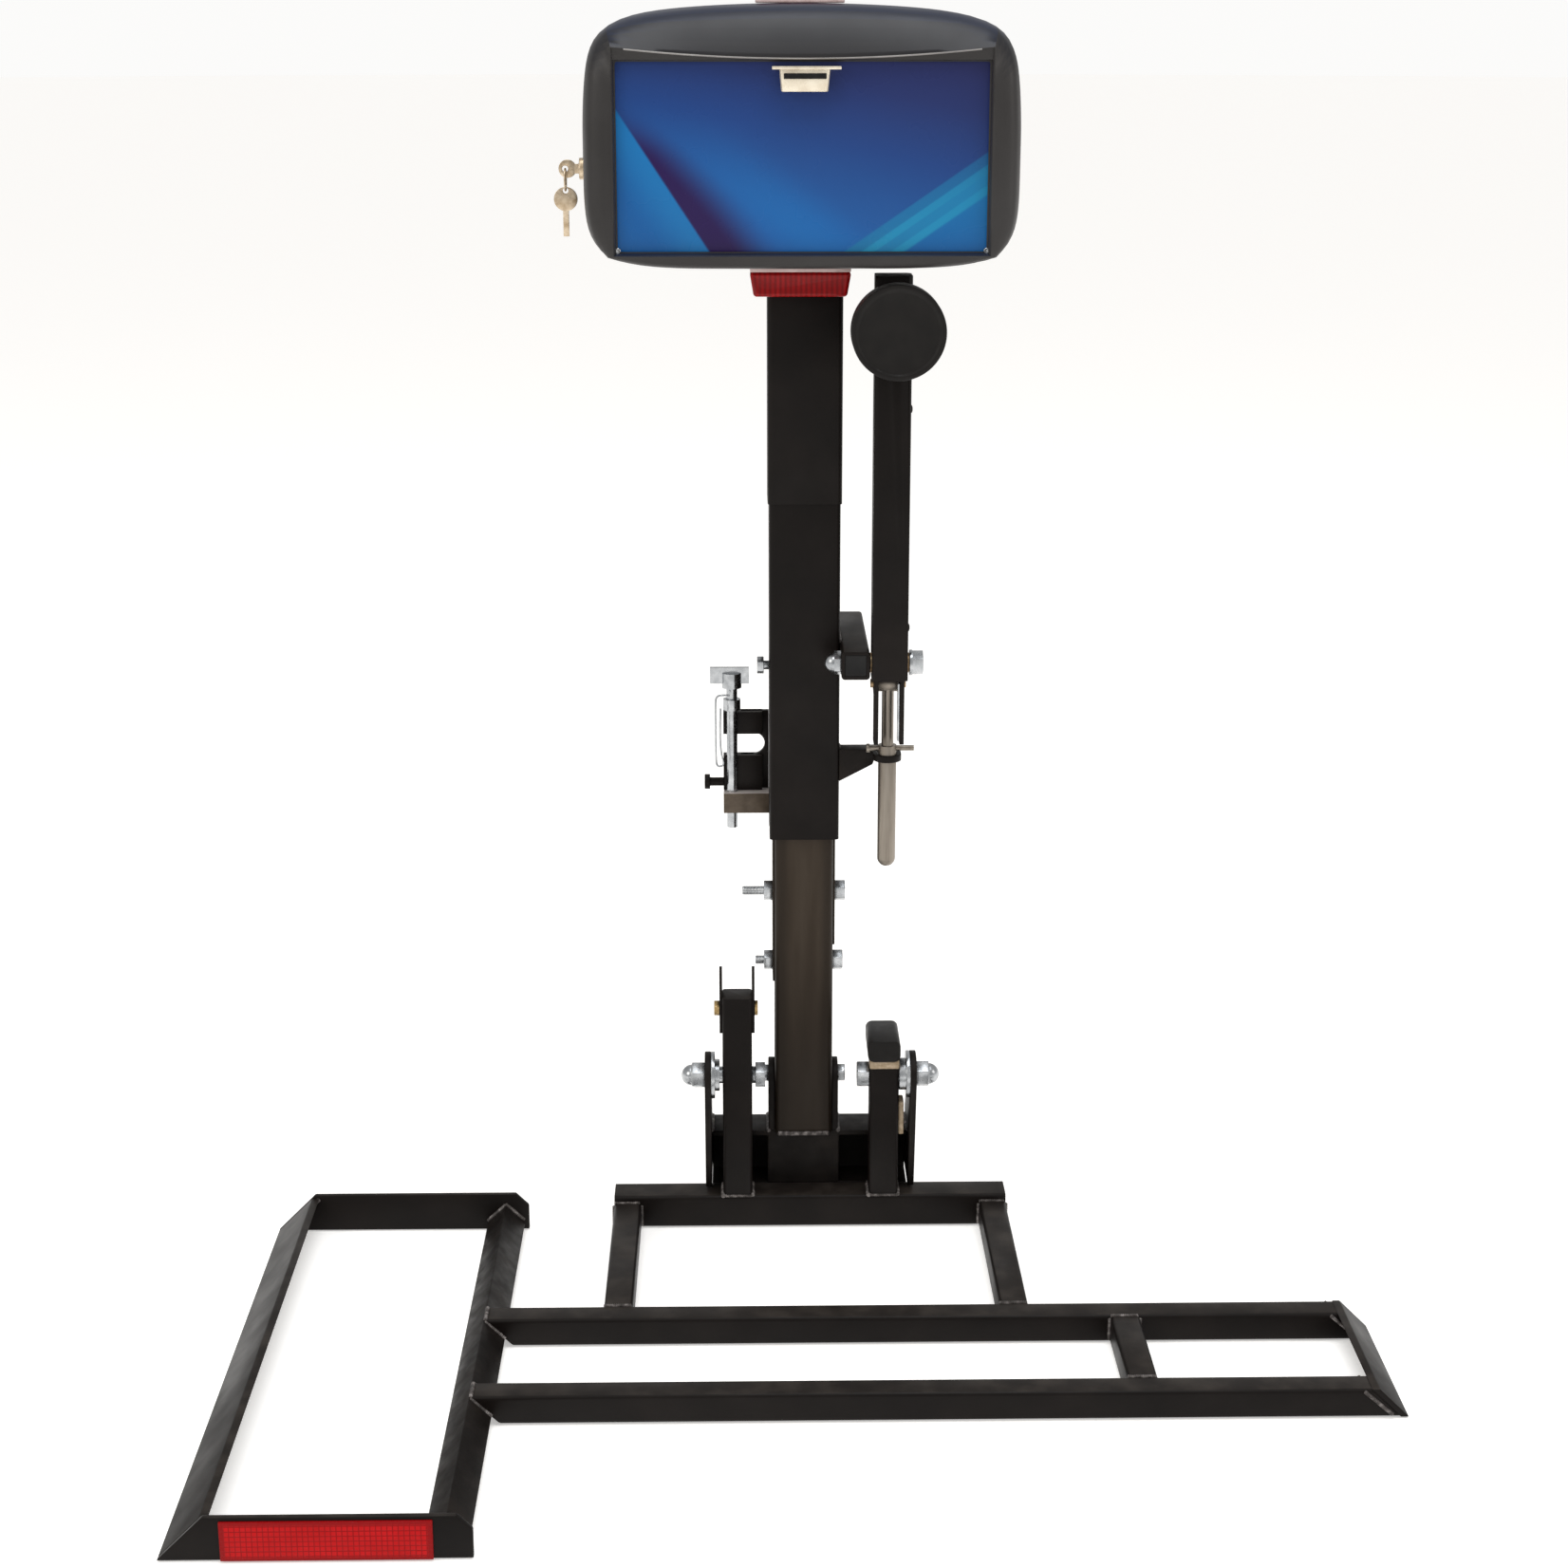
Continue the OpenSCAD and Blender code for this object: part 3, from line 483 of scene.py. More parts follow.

# %% [markdown]
# ### Bare and plated metals
# Zinc plate is bright, slightly blue and cloudy. Brass-coloured plate is the same with yellow
# passivation. The push rod is drawn bar, so its marks run along it. The clamp's bar is brown, and much
# paler on the faces that look up. The drive's castings are duller.

# %% Plated and bare metals
coated("zinc", [(0.30, 0.315, 0.33), (0.42, 0.435, 0.45), (0.54, 0.555, 0.57)], 11, (0.20, 0.34), 0.8, 0.015,
    metallic=1.0)
coated("bright_rod", [(0.17, 0.145, 0.12), (0.25, 0.22, 0.185), (0.32, 0.285, 0.245)], 6, (0.30, 0.44), 1.2,
    0.012, metallic=0.9, stretch=(1, 1, 14))
coated("bronze", [(0.19, 0.12, 0.065), (0.33, 0.22, 0.12), (0.42, 0.31, 0.18)], 9, (0.32, 0.5), 1.0, 0.02,
    metallic=0.8)
tree, shader, place, colour = coated("brown_bar", [(0.060, 0.042, 0.026), (0.085, 0.062, 0.042),
    (0.115, 0.086, 0.060)], 12, (0.4, 0.55), 1.0, 0.02, metallic=0.3)
# The faces that look up are painted much paler.
paint(tree, shader, blend(tree, facing_up(tree, 0.6, 0.9), colour, (0.62, 0.56, 0.53)))
for name, dark, light, patch_mm, rough, grain_mm, height_mm, metallic in (
        ("bare_steel", (0.24, 0.235, 0.23), (0.40, 0.39, 0.38), 8, (0.28, 0.45), 1.0, 0.015, 1.0),
        ("drive_metal", (0.20, 0.205, 0.21), (0.30, 0.305, 0.31), 14, (0.4, 0.6), 1.4, 0.05, 0.8),
        ("lamp_nickel", (0.62, 0.54, 0.42), (0.80, 0.73, 0.60), 12, (0.22, 0.38), 0.9, 0.015, 0.55),
        ("key_nickel", (0.40, 0.30, 0.19), (0.66, 0.55, 0.41), 5, (0.22, 0.4), 0.6, 0.02, 0.9),
        ("brass_plate", (0.20, 0.13, 0.055), (0.48, 0.34, 0.16), 4, (0.25, 0.42), 0.7, 0.02, 1.0)):
    coated(name, [dark, light], patch_mm, rough, grain_mm, height_mm, metallic)
print(len(finishes), "finishes")

# %% [markdown]
# ### Dark and greasy steel
# The inner mast slides in the outer one. It is brown with old grease and scratched lengthwise. Its
# colour is paler in the middle, darker along both edges and darker towards the foot. The plates at its
# foot are nearly black.

# %% Dark steel and the greasy inner mast
coated("dark_steel", [(0.0045, 0.0032, 0.0026), (0.0075, 0.0055, 0.0045), (0.013, 0.0095, 0.0075)], 26,
    (0.42, 0.62), 1.2, 0.05, metallic=0.2, specular=0.16)

tree, shader, place, colour = coated("greasy_steel", [(0.022, 0.015, 0.009), (0.034, 0.024, 0.016),
    (0.047, 0.035, 0.025)], 22, (0.36, 0.54), 1.4, 0.03, metallic=0.3, specular=0.2, stretch=(1, 1, 9))
x, _, z = axes(tree, place)
# Paler in the middle, darker along both edges and towards the foot.
middle_part = product(tree, between(tree, x, -0.020, -0.011), between(tree, x, 0.021, 0.013))
above_foot = between(tree, z, ground + 0.12, ground + 0.30)
paler_part = product(tree, between(tree, middle_part, 0, 1, 0.45, 1.0, False),
    between(tree, above_foot, 0, 1, 0.3, 1.0, False))
paint(tree, shader, blend(tree, paler_part, (0.012, 0.008, 0.005), colour))
print("greasy steel ready")

# %% [markdown]
# ### Rubber and webbing
# The pads are matt rubber with a fine sandy skin and a bloom of dust. The tan strips are woven webbing,
# so two patterns of patches, drawn out along and across, give them threads.

# %% Rubber and webbing
rubber = coated("rubber", [(0.0042, 0.0034, 0.0030), (0.0056, 0.0046, 0.0040),
    (0.0072, 0.0060, 0.0052)], 16, (0.40, 0.50), 0.7, 0.04, specular=0.19)[1]
even(rubber, {"Sheen Weight": 0.02})

tree, shader, place, colour = coated("tan_felt", [(0.30, 0.22, 0.14), (0.40, 0.31, 0.21),
    (0.52, 0.41, 0.30)], 5, (0.75, 0.9), 0.8, 0.05, specular=0.2)
threads = [patches(tree, place, 1.1, 1, stretch) for stretch in ((0.5, 4, 1), (4, 0.5, 1))]
relief(tree, shader, reckon(tree, "ADD", *threads), 0.25)
print("rubber and webbing ready")

# %% [markdown]
# ### Red lenses
# The brake lights are red acrylic: clear and glossy over a ribbed back. The reflector is a sheet of
# tiny prisms. Its cells are drawn by two waves, one along the sheet and one up it, and its border is
# plain and darker. The reflector is no lamp, but it is given a faint painted red glow.

# %% Red lens and reflector
rib = 0.0022
tree, shader, place, colour = coated("red_lens", [(0.22, 0.0006, 0.001), (0.28, 0.001, 0.002),
    (0.34, 0.002, 0.003)], 9, (0.16, 0.26), 3.0, 0.02, specular=0.16, coat=0.06)
x = axes(tree, place)[0]
ribs = between(tree, reckon(tree, "PINGPONG", x, rib), 0.0, rib)
paint(tree, shader, blend(tree, ribs, (0.15, 0.0005, 0.001), colour))
even(shader, {"Coat Roughness": 0.08, "Emission Color": (0.7, 0.02, 0.02, 1), "Emission Strength": 0.04})

low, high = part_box("reflector")
border_red = (0.22, 0.001, 0.002)
tree, shader, place, colour = coated("reflector_red", [(0.38, 0.002, 0.003), (0.46, 0.003, 0.005)], 20,
    (0.3, 0.4), 1.0, 0.01, specular=0.10, coat=0.04)
x, _, z = axes(tree, place)
cells = [reckon(tree, "PINGPONG", reckon(tree, "ADD", axis, 1.0), 0.0021) for axis in (x, z)]
grid = product(tree, *[between(tree, cell, 0.0001, 0.0007) for cell in cells])
inside = product(tree, between(tree, x, low.x + 0.003, low.x + 0.005),
    between(tree, x, high.x - 0.003, high.x - 0.005), between(tree, z, high.z - 0.002, high.z - 0.004),
    between(tree, z, low.z + 0.002, low.z + 0.004))
paint(tree, shader, blend(tree, inside, border_red, blend(tree, grid, border_red, colour)))
relief(tree, shader, grid, 0.12)
# The reflector is no lamp: this faint red glow is painted.
even(shader, {"Emission Color": (0.6, 0.0, 0.0, 1), "Emission Strength": 0.05})
print("red finishes ready")

# %% [markdown]
# ### The printed plate
# The plate carries a printed sweep of blues. It is worked out from how far across (0 to 1) and how far
# up (0 to 1) a point is. Each band is a soft step across a slanted or bent line.

# %% Printed plate
plate_low, plate_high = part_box("sign_plate")
tree, shader, place = new_finish("sign_blue")
x, _, z = axes(tree, place)
across = between(tree, x, plate_low.x, plate_high.x, soft=False)
up = between(tree, z, plate_low.z, plate_high.z, soft=False)


def slanted(across_part, up_part, bend=0.0):
    line = reckon(tree, "ADD", product(tree, across, across_part), product(tree, up, up_part))
    return reckon(tree, "ADD", line, product(tree, reckon(tree, "POWER", up, 2.0), bend))


colour = shades(tree, slanted(0.30, 0.70), [(0.02, (0.006, 0.105, 0.36)), (0.32, (0.010, 0.078, 0.27)),
    (0.58, (0.012, 0.046, 0.185)), (0.80, (0.016, 0.028, 0.115)), (0.97, (0.018, 0.022, 0.090))])
glow = product(tree, between(tree, slanted(1.0, 0.62), 0.42, 0.56),
    between(tree, slanted(1.0, 0.62), 0.78, 0.60), between(tree, up, 0.80, 0.05, 0.0, 0.6))
colour = blend(tree, glow, colour, (0.006, 0.125, 0.38))
left_edge = slanted(1.0, 0.33)
shadow = product(tree, between(tree, left_edge, 0.235, 0.255),
    between(tree, slanted(1.0, 0.38, 0.16), 0.46, 0.31), between(tree, up, 0.84, 0.50))
colour = blend(tree, shadow, colour, (0.016, 0.005, 0.062))
wedge_colour = blend(tree, between(tree, left_edge, 0.10, 0.24), (0.004, 0.088, 0.29), (0.007, 0.135, 0.36))
colour = blend(tree, between(tree, left_edge, 0.252, 0.243), colour, wedge_colour)

rays = slanted(1.0, -0.735)
low_down = between(tree, up, 0.62, 0.0, 0.35, 1.0, False)
for start, end, strength, tint in ((0.608, 0.618, 0.9, (0.008, 0.155, 0.33)),
        (0.655, 0.665, 0.8, (0.012, 0.24, 0.42)), (0.690, 0.700, 0.8, (0.008, 0.15, 0.34)),
        (0.735, 0.745, 0.8, (0.012, 0.23, 0.41)), (0.768, 0.785, 0.95, (0.005, 0.095, 0.31))):
    ray = product(tree, between(tree, rays, start, end), product(tree, low_down, strength))
    colour = blend(tree, ray, colour, tint)
paint(tree, shader, colour)
gloss = between(tree, patches(tree, place, 50), 0.3, 0.7, 0.24, 0.32, False)
tree.links.new(gloss, shader.inputs["Roughness"])
relief(tree, shader, patches(tree, place, 0.7, 1), 0.004)
even(shader, {"Coat Weight": 0.05, "Coat Roughness": 0.15, "Specular IOR Level": 0.15})
print("plate finish ready")

# %% [markdown]
# ### Welds and small places
# A weld bead under powder coat is rougher and paler than the tube, with scale and spatter on its
# ripples. The seam and the lamp's slot are dark. The lights' bases are pale, and their paleness is also
# a painted highlight along the lights' edges. The lip over the plate carries a pale painted highlight.

# %% Finishes of small places
coated("weld", [(0.014, 0.011, 0.009), (0.07, 0.060, 0.056), (0.26, 0.235, 0.225)], 5, (0.35, 0.6), 0.9, 0.12,
    specular=0.4)
coated("dark_slot", [(0.004, 0.004, 0.004), (0.009, 0.008, 0.008)], 6, (0.5, 0.7), 0.8, 0.02, specular=0.2)
# The lights' pale base finish is partly a painted highlight.
coated("pale_base", [(0.50, 0.36, 0.34), (0.66, 0.52, 0.50)], 10, (0.3, 0.45), 0.9, 0.02)
# A pale glossy finish, used as a painted highlight along the window's lip.
coated("painted_lip_highlight", [(0.16, 0.150, 0.145), (0.34, 0.325, 0.31)], 60, (0.22, 0.34), 0.9, 0.01)
print(len(finishes), "finishes in all")

# %% [markdown]
# Every part of the model gets the finish of its own material slot, unless it is set apart by name. The
# inner mast and its wear straps are steel like the foot, but greasy. The prong's bolt and the clamp's
# bar are also unlike their neighbours, and so is the ridge.

# %% Give every part its finish
own_finish = {"inner_mast": "greasy_steel", "wear_straps": "greasy_steel", "prong_bolt": "brass_plate",
    "clamp_bar": "brown_bar", "ridge": "dark_steel"}
slot_of = {node: thing.material_slots[0].material.name.split(".")[0]
    for node, thing in frame["nodes"].items()}
for node, thing in frame["nodes"].items():
    thing.material_slots[0].material = finishes[own_finish.get(node, slot_of[node])]
print(len(slot_of), "parts have finishes from", len(set(slot_of.values())), "slots")

# %% [markdown]
# ## Rounded steel
# A rolled tube has round corners, and a cut plate has a small burr-free edge. The model's parts are
# sharp, so a copy is shaped: its loose triangles are merged, flat faces made whole, long corners
# rounded to the tube's own radius, and the other sharp edges eased. The copy then stands for the part.

# %% Shaping a copy of a part
def finish_piece(piece, body, finish_name, slot, replaces=()):
    piece.data.materials.clear()
    piece.data.materials.append(finishes[finish_name])
    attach(piece, body)
    if replaces:
        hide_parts(*replaces)
    return piece


def copy_of(node):
    source = frame["nodes"][node]
    pick(source)
    bpy.ops.object.duplicate(linked=False)
    piece = bpy.context.object
    bpy.ops.object.parent_clear(type="CLEAR_KEEP_TRANSFORM")
    for key in list(piece.keys()):
        del piece[key]
    piece.name = "shaped_" + node
    piece.data.name = piece.name
    edit(piece, "VERT")
    bpy.ops.mesh.select_all(action="SELECT")
    bpy.ops.mesh.remove_doubles(threshold=0.00001)
    bpy.ops.mesh.dissolve_limited(angle_limit=math.radians(0.4))
    done()
    return piece


def long_corner(axis, shortest, nearly_square=1.2):
    def test(edge):
        way = edge.verts[1].co - edge.verts[0].co
        along = way.length > shortest and abs(way[axis]) > 0.99 * way.length
        return along and edge.is_convex and edge.calc_face_angle() > nearly_square
    return test


def shaped(node, axis=None, corner=0.0035, ease=0.0005, test=None):
    piece = copy_of(node)
    if axis is not None:
        select_edges(piece, test or long_corner(axis, 0.015))
        bevel_picked(corner, 4, clamp=True)
    ease_all(piece, ease)
    body = body_of(frame["nodes"][node])[0]
    return finish_piece(piece, body, own_finish.get(node, slot_of[node]), slot_of[node], [node])


# %% [markdown]
# The tubes of the platform first. Only their outer corners are rounded: an inner corner is hollow, and
# a hollow corner isn't convex.

# %% Platform tubes
for node, axis in (("cross_tube", 0), ("rear_rail", 0), ("front_rail", 0), ("legs", 1), ("crossbar", 1)):
    made = shaped(node, axis)
    print(made.name, len(made.data.polygons), "faces")
for node in ("end_ramp", "pan_bars", "pan_ramp", "ridge"):
    made = shaped(node, ease=0.0009)
    print(made.name, len(made.data.polygons), "faces")
for node in ("left_upright", "right_upright"):
    shaped(node, 2)

# %% [markdown]
# The mast, its sleeve, the arm, its bracket and the hitch bar are tubes as well. The outer mast has
# slots in its sides, so its corners are picked by place: they are the edges at the corners of its own
# box.

# %% Mast and arm tubes
def box_corner(node, axis):
    low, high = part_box(node)
    others = [i for i in range(3) if i != axis]
    def test(edge):
        middle = (edge.verts[0].co + edge.verts[1].co) / 2
        near = [min(abs(middle[i] - low[i]), abs(middle[i] - high[i])) < 0.0002 for i in others]
        return all(near) and long_corner(axis, 0.01)(edge)
    return test


for node, axis, corner in (("outer_mast", 2, 0.0035), ("mast_sleeve", 2, 0.0042), ("inner_mast", 2, 0.005),
        ("arm_tube", 2, 0.0035), ("arm_bracket", 1, 0.003), ("hitch_bar", 1, 0.006)):
    made = shaped(node, axis, corner, test=box_corner(node, axis))
    print(made.name, len(made.data.polygons), "faces")

# %% [markdown]
# Cut plates, straps and brackets only have their edges eased.

# %% Plates and brackets
for node, ease in (("base_channel", 0.0012), ("base_ears", 0.0009), ("foot_plates", 0.0009),
        ("prong_plates", 0.0004), ("wear_straps", 0.0003), ("clamp_bar", 0.0009), ("guide_bracket", 0.0006),
        ("arm_cheeks", 0.0005), ("pad_strips", 0.0012), ("reflector", 0.0005)):
    shaped(node, ease=ease)
shaped("lift_pad", 1, 0.006, ease=0.001)
print("plates shaped")

# %% [markdown]
# Bolts, nuts, washers, pins and keys are small, so their edges are eased only a little. It is enough
# for each edge of a hexagon to shine.

# %% Hardware
for node, ease in (("pivot_bolts", 0.0005), ("pivot_washers", 0.0004), ("cross_bolts", 0.0005),
        ("prong_bolt", 0.0004), ("arm_pivot_bolt", 0.0005), ("arm_bush", 0.0003), ("pad_stem", 0.0004),
        ("push_rod", 0.0005), ("lock_barrel", 0.0006), ("key", 0.0003), ("spare_key", 0.0003)):
    shaped(node, ease=ease)
print("hardware shaped")

# %% [markdown]
# The two bolts at the mast's left are one part, but the upper is zinc plated and the lower is painted.
# The copy is split in edit mode, so that each has its own finish.

# %% Side bolts
bolts = copy_of("side_bolts")
ease_all(bolts, 0.0005)
select_faces(bolts, lambda face: face.calc_center_median().z < 0)
bpy.ops.mesh.separate(type="SELECTED")
done()
painted_bolt = [thing for thing in bpy.context.selected_objects if thing is not bolts][0]
painted_bolt.name = "painted_side_bolt"
finish_piece(bolts, "mast", "zinc", "zinc", ["side_bolts"])
finish_piece(painted_bolt, "mast", "black_paint", "black_paint", ["side_bolts"])
print("side bolts split")

# %% [markdown]
# The clamp's lugs stand behind its threaded rod, and the rod lies in a groove across them. So the copy
# of the bracket is cut in edit mode by a flat bisect, which also closes the cut. A web with a
# half-round gap joins the lugs to the mast: a block, from which a rounded block is taken away by a
# Boolean modifier.

# %% Clamp bracket
low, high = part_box("clamp_bracket")
rod_low, rod_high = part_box("clamp_screw")
lugs = copy_of("clamp_bracket")
edit(lugs)
bpy.ops.mesh.select_all(action="SELECT")
bpy.ops.mesh.bisect(plane_co=(0, (rod_low.y + rod_high.y) / 2, 0), plane_no=(0, -1, 0), use_fill=True,
    clear_outer=True)
done()
print("lugs cut at the middle of the rod")

# %% [markdown]
# The gap's block reaches well through the web in front, behind and to the left, so that the Boolean
# cuts cleanly.

# %% Web between the lugs
web = block("web", (low.x + 0.0160, high.y - 0.0070, low.z), (high.x, high.y - 0.0005, high.z))
gap_x, gap_z, gap_half = low.x + 0.0280, low.z + 0.0435, 0.0105
gap = block("gap", (low.x, high.y - 0.02, gap_z - gap_half),
    (gap_x + gap_half, high.y + 0.01, gap_z + gap_half))
select_edges(gap, lambda edge: edge.verts[0].co.x > gap_x and long_corner(1, 0.01)(edge))
bevel_picked(gap_half - 0.0001, 10)
pick(web)
hollow = web.modifiers.new("hollow", "BOOLEAN")
hollow.object = gap
hollow.operation = "DIFFERENCE"
bpy.ops.object.modifier_apply(modifier=hollow.name)
bpy.data.objects.remove(gap, do_unlink=True)
for piece in (lugs, web):
    round_sharp(piece, 0.0005)
bracket = join("shaped_clamp_bracket", [lugs, web])
smooth(bracket)
finish_piece(bracket, "mast", "black_paint", slot_of["clamp_bracket"], ["clamp_bracket"])
print("clamp bracket", len(bracket.data.polygons), "faces")

# %% [markdown]
# ## The head
# The head is two moulded shells that meet at a seam. Seen from the front their outline is a soft
# rectangle. Its corners are tight, its top is crowned, and its sides bow a little above the middle. One
# rule gives every point: a circle is pushed out towards a square, then the upper half is bowed. The
# shell starts as a circle of points, and each further ring is extruded from the last and put in place.

# %% Outline of the head
cover_low, cover_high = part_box("front_cover")
back_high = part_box("rear_cover")[1]
head_middle = (cover_low + cover_high) / 2
half_wide = (cover_high.x - cover_low.x) / 2
half_high = (cover_high.z - cover_low.z) / 2
seam = cover_high.y
head_bow, head_crown = 0.05, 0.10


def squared(turn):
    wide, high = math.cos(turn), math.sin(turn)
    power = 8 if high > 0 else 6
    push = (wide ** power + high ** power) ** (-1 / power)
    return wide * push, high * push


def on_outline(turn, inset=0.0):
    across, up = squared(turn)
    if up > 0:
        across, up = across * (1 - head_bow * up * up), up * (1 - head_crown * across * across)
    return Vector((across * (half_wide - inset), 0, up * (half_high - inset)))


print("head is", round(2000 * half_wide, 1), "mm wide and", round(2000 * half_high, 1), "mm high")

# %% [markdown]
# The plate sits in a window. The window's upper edge is a lip: it is higher at its ends than in its
# middle. The points of the window are shared out by the same turn as the outline, so that the rings
# between them stay even.

# %% Outline of the window
lip_rise, beside, over = 0.0085, 0.0028, 0.0020
window_low = Vector((plate_low.x - beside, 0, plate_low.z - beside))
window_high = Vector((plate_high.x + beside, 0, plate_high.z + over))


def on_window(turn, inset=0.0, lip=lip_rise):
    half = (window_high - window_low) / 2 - Vector((inset, 0, inset))
    centre = (window_low + window_high) / 2
    across, up = squared(turn)
    reach = max(abs(across), abs(up))
    x, z = across / reach, up / reach
    point = Vector((centre.x + x * half.x, 0, centre.z + z * half.z))
    if z > 0:
        point.z += z * lip * x * x
    return point - Vector((head_middle.x, 0, head_middle.z))


print("window is", round(1000 * (window_high.x - window_low.x), 1), "mm wide")

# %% [markdown]
# `next_ring` is the heart of the shell: extrude the ring that is selected, then send each new point to
# its place. Each point remembers its own turn in an attribute, which the extrusion copies.

# %% Extruding rings
def next_ring(piece, where):
    bpy.ops.mesh.extrude_region_move()
    send_selected(piece, where)


def send_selected(piece, where):
    mesh = bmesh.from_edit_mesh(piece.data)
    turn = mesh.verts.layers.float["turn"]
    for point in mesh.verts:
        if point.select:
            point.co = where(point[turn])
    bmesh.update_edit_mesh(piece.data)


def rings(name, places, count=144):
    put_away()
    bpy.ops.mesh.primitive_circle_add(vertices=count, radius=0.1, location=(0, 0, 0))
    piece = settle(bpy.context.object, name)
    turns = piece.data.attributes.new("turn", "FLOAT", "POINT")
    for number, value in enumerate(turns.data):
        value.value = 2 * math.pi * number / count
    edit(piece, "VERT")
    bpy.ops.mesh.select_all(action="SELECT")
    send_selected(piece, places[0])
    for where in places[1:]:
        next_ring(piece, where)
    return piece


def at_depth(depth, outline):
    return lambda turn: Vector((head_middle.x, seam + depth, head_middle.z)) + outline(turn)


def turn_outwards():
    bpy.ops.mesh.select_all(action="SELECT")
    bpy.ops.mesh.normals_make_consistent(inside=False)
    done()


def finish_shell(piece, node):
    bpy.ops.mesh.edge_face_add()
    turn_outwards()
    smooth(piece, 50)
    finish_piece(piece, "mast", "charcoal_plastic", "charcoal_plastic", [node])
    print(piece.name, len(piece.data.polygons), "faces")


# %% [markdown]
# The front shell goes round its edge in a soft curve, over the rim to the window, and down into it.
# Above the window the face leans back to the top like a brow, which is why it shines there. `brow` says
# how much a point takes part in that. A step of the rim says how far from outline to window it is, its
# inset and its depth.

# %% Front cover
rim_steps = ((0.0, 0.0, -0.0006), (0.0, 0.0004, -0.050), (0.0, 0.0012, -0.095), (0.03, 0.0015, -0.112),
    (0.12, 0.001, -0.1215), (0.28, 0.0, -0.1285), (0.48, 0.0, -0.1318), (0.70, 0.0, -0.1330),
    (0.90, 0.0, -0.1336), (0.975, 0.0, -0.1338))
window_steps = ((0.0002, -0.1330, lip_rise), (0.0010, -0.1320, lip_rise), (0.0012, -0.1312, 0.0004),
    (0.0017, -0.1300, 0.0), (0.0018, -0.1262, 0.0), (0.012, -0.1240, 0.0))
brow_foot = -0.095


def brow(turn):
    lift = min(1.0, max(0.0, (math.sin(turn) - 0.50) / 0.26))
    return lift * lift * (3 - 2 * lift)


def rim_point(across, inset, depth):
    def where(turn):
        point = on_outline(turn, inset).lerp(on_window(turn), across)
        leaning = brow_foot - 0.001 - 0.0378 * across ** 0.48
        deep = depth + (leaning - depth) * brow(turn) if depth < brow_foot else depth
        return Vector((head_middle.x + point.x, seam + deep, head_middle.z + point.z))
    return where


def window_point(inset, depth, lip):
    return at_depth(depth, lambda turn: on_window(turn, inset, lip))


cover = rings("head_front_cover", [rim_point(*step) for step in rim_steps]
    + [window_point(*step) for step in window_steps])
finish_shell(cover, "front_cover")

# %% [markdown]
# The rear shell is made the same way, with a flat back that has a shallow panel pressed into it. A thin
# dark gasket fills the seam, so that the seam reads as a fine line.

# %% Rear cover and gasket
back = back_high.y - seam
back_steps = ((0.0, 0.0006), (0.0, 0.030), (0.0008, 0.046), (0.003, 0.058), (0.007, 0.0665), (0.013, 0.072),
    (0.020, 0.0745), (0.030, back), (0.038, back), (0.0395, back - 0.0008), (0.041, back - 0.0024),
    (0.060, back - 0.0026))
gasket_steps = ((0.0009, -0.0012), (0.0009, 0.0012), (0.004, 0.0012), (0.004, -0.0012))


def back_point(inset, depth):
    return at_depth(depth, lambda turn: on_outline(turn, inset))


finish_shell(rings("head_rear_cover", [back_point(*step) for step in back_steps]), "rear_cover")

gasket = rings("seam_gasket", [back_point(*step) for step in gasket_steps])
edit(gasket, "EDGE")
bpy.ops.mesh.select_non_manifold()
bpy.ops.mesh.bridge_edge_loops()
turn_outwards()
smooth(gasket)
finish_piece(gasket, "mast", "dark_slot", "black_plastic")
print("gasket", len(gasket.data.polygons), "faces")

# %% [markdown]
# The printed plate has small round corners. It starts as a block. Its four short edges are bevelled,
# and then the rest of the edges are eased.

# %% Plate
plate = block("printed_plate", plate_low, plate_high)
select_edges(plate, long_corner(1, 0.001))
bevel_picked(0.003, 5)
ease_all(plate, 0.0003)
finish_piece(plate, "mast", "sign_blue", "sign_blue", ["sign_plate"])
print(plate.name, len(plate.data.polygons), "faces")

# %% [markdown]
# Two small screws hold the plate at its lower corners, and four hold the rear shell. One of each kind
# is made: a low domed head, its top face inset and lifted, then inset and pushed in. The others are
# copies with meshes of their own.

# %% Screws
def screw(name, centre, out, radius):
    centre, out = Vector(centre), Vector(out)
    piece = rod(name, centre, centre + out * 0.0016, radius, 24)
    select_faces(piece, lambda face: face.normal.dot(out) > 0.9)
    press(radius * 0.25, out * 0.0005)
    press(radius * 0.38, out * -0.0007)
    done()
    ease_all(piece, 0.0002)
    return piece


def repeated(name, piece, moves):
    pieces = [piece]
    for move in moves:
        pick(piece)
        bpy.ops.object.duplicate(linked=False)
        bpy.ops.transform.translate(value=move)
        pieces.append(settle(bpy.context.object, piece.name))
    return join(name, pieces)


screw_inset = 0.0002
plate_screw = screw("plate_screw", (plate_low.x + screw_inset, plate_low.y - 0.0002, plate_low.z + 0.0010),
    (0, -1, 0), 0.0024)
plate_screws = repeated("plate_screws", plate_screw, [(plate_high.x - plate_low.x - 2 * screw_inset, 0, 0)])
finish_piece(plate_screws, "mast", "zinc", "zinc")
aside, above = 0.125, 0.062
cover_screw = screw("cover_screw", (head_middle.x - aside, back_high.y - 0.0016, head_middle.z - above),
    (0, 1, 0), 0.0045)
cover_screws = repeated("cover_screws", cover_screw, [(0, 0, 2 * above), (2 * aside, 0, 0),
    (2 * aside, 0, 2 * above)])
finish_piece(cover_screws, "mast", "black_plastic", "black_plastic")
print("six screws")

# %% [markdown]
# The plate lamp is a small pressed housing that hangs under a wider hood. Its front has a dark slot for
# the light.

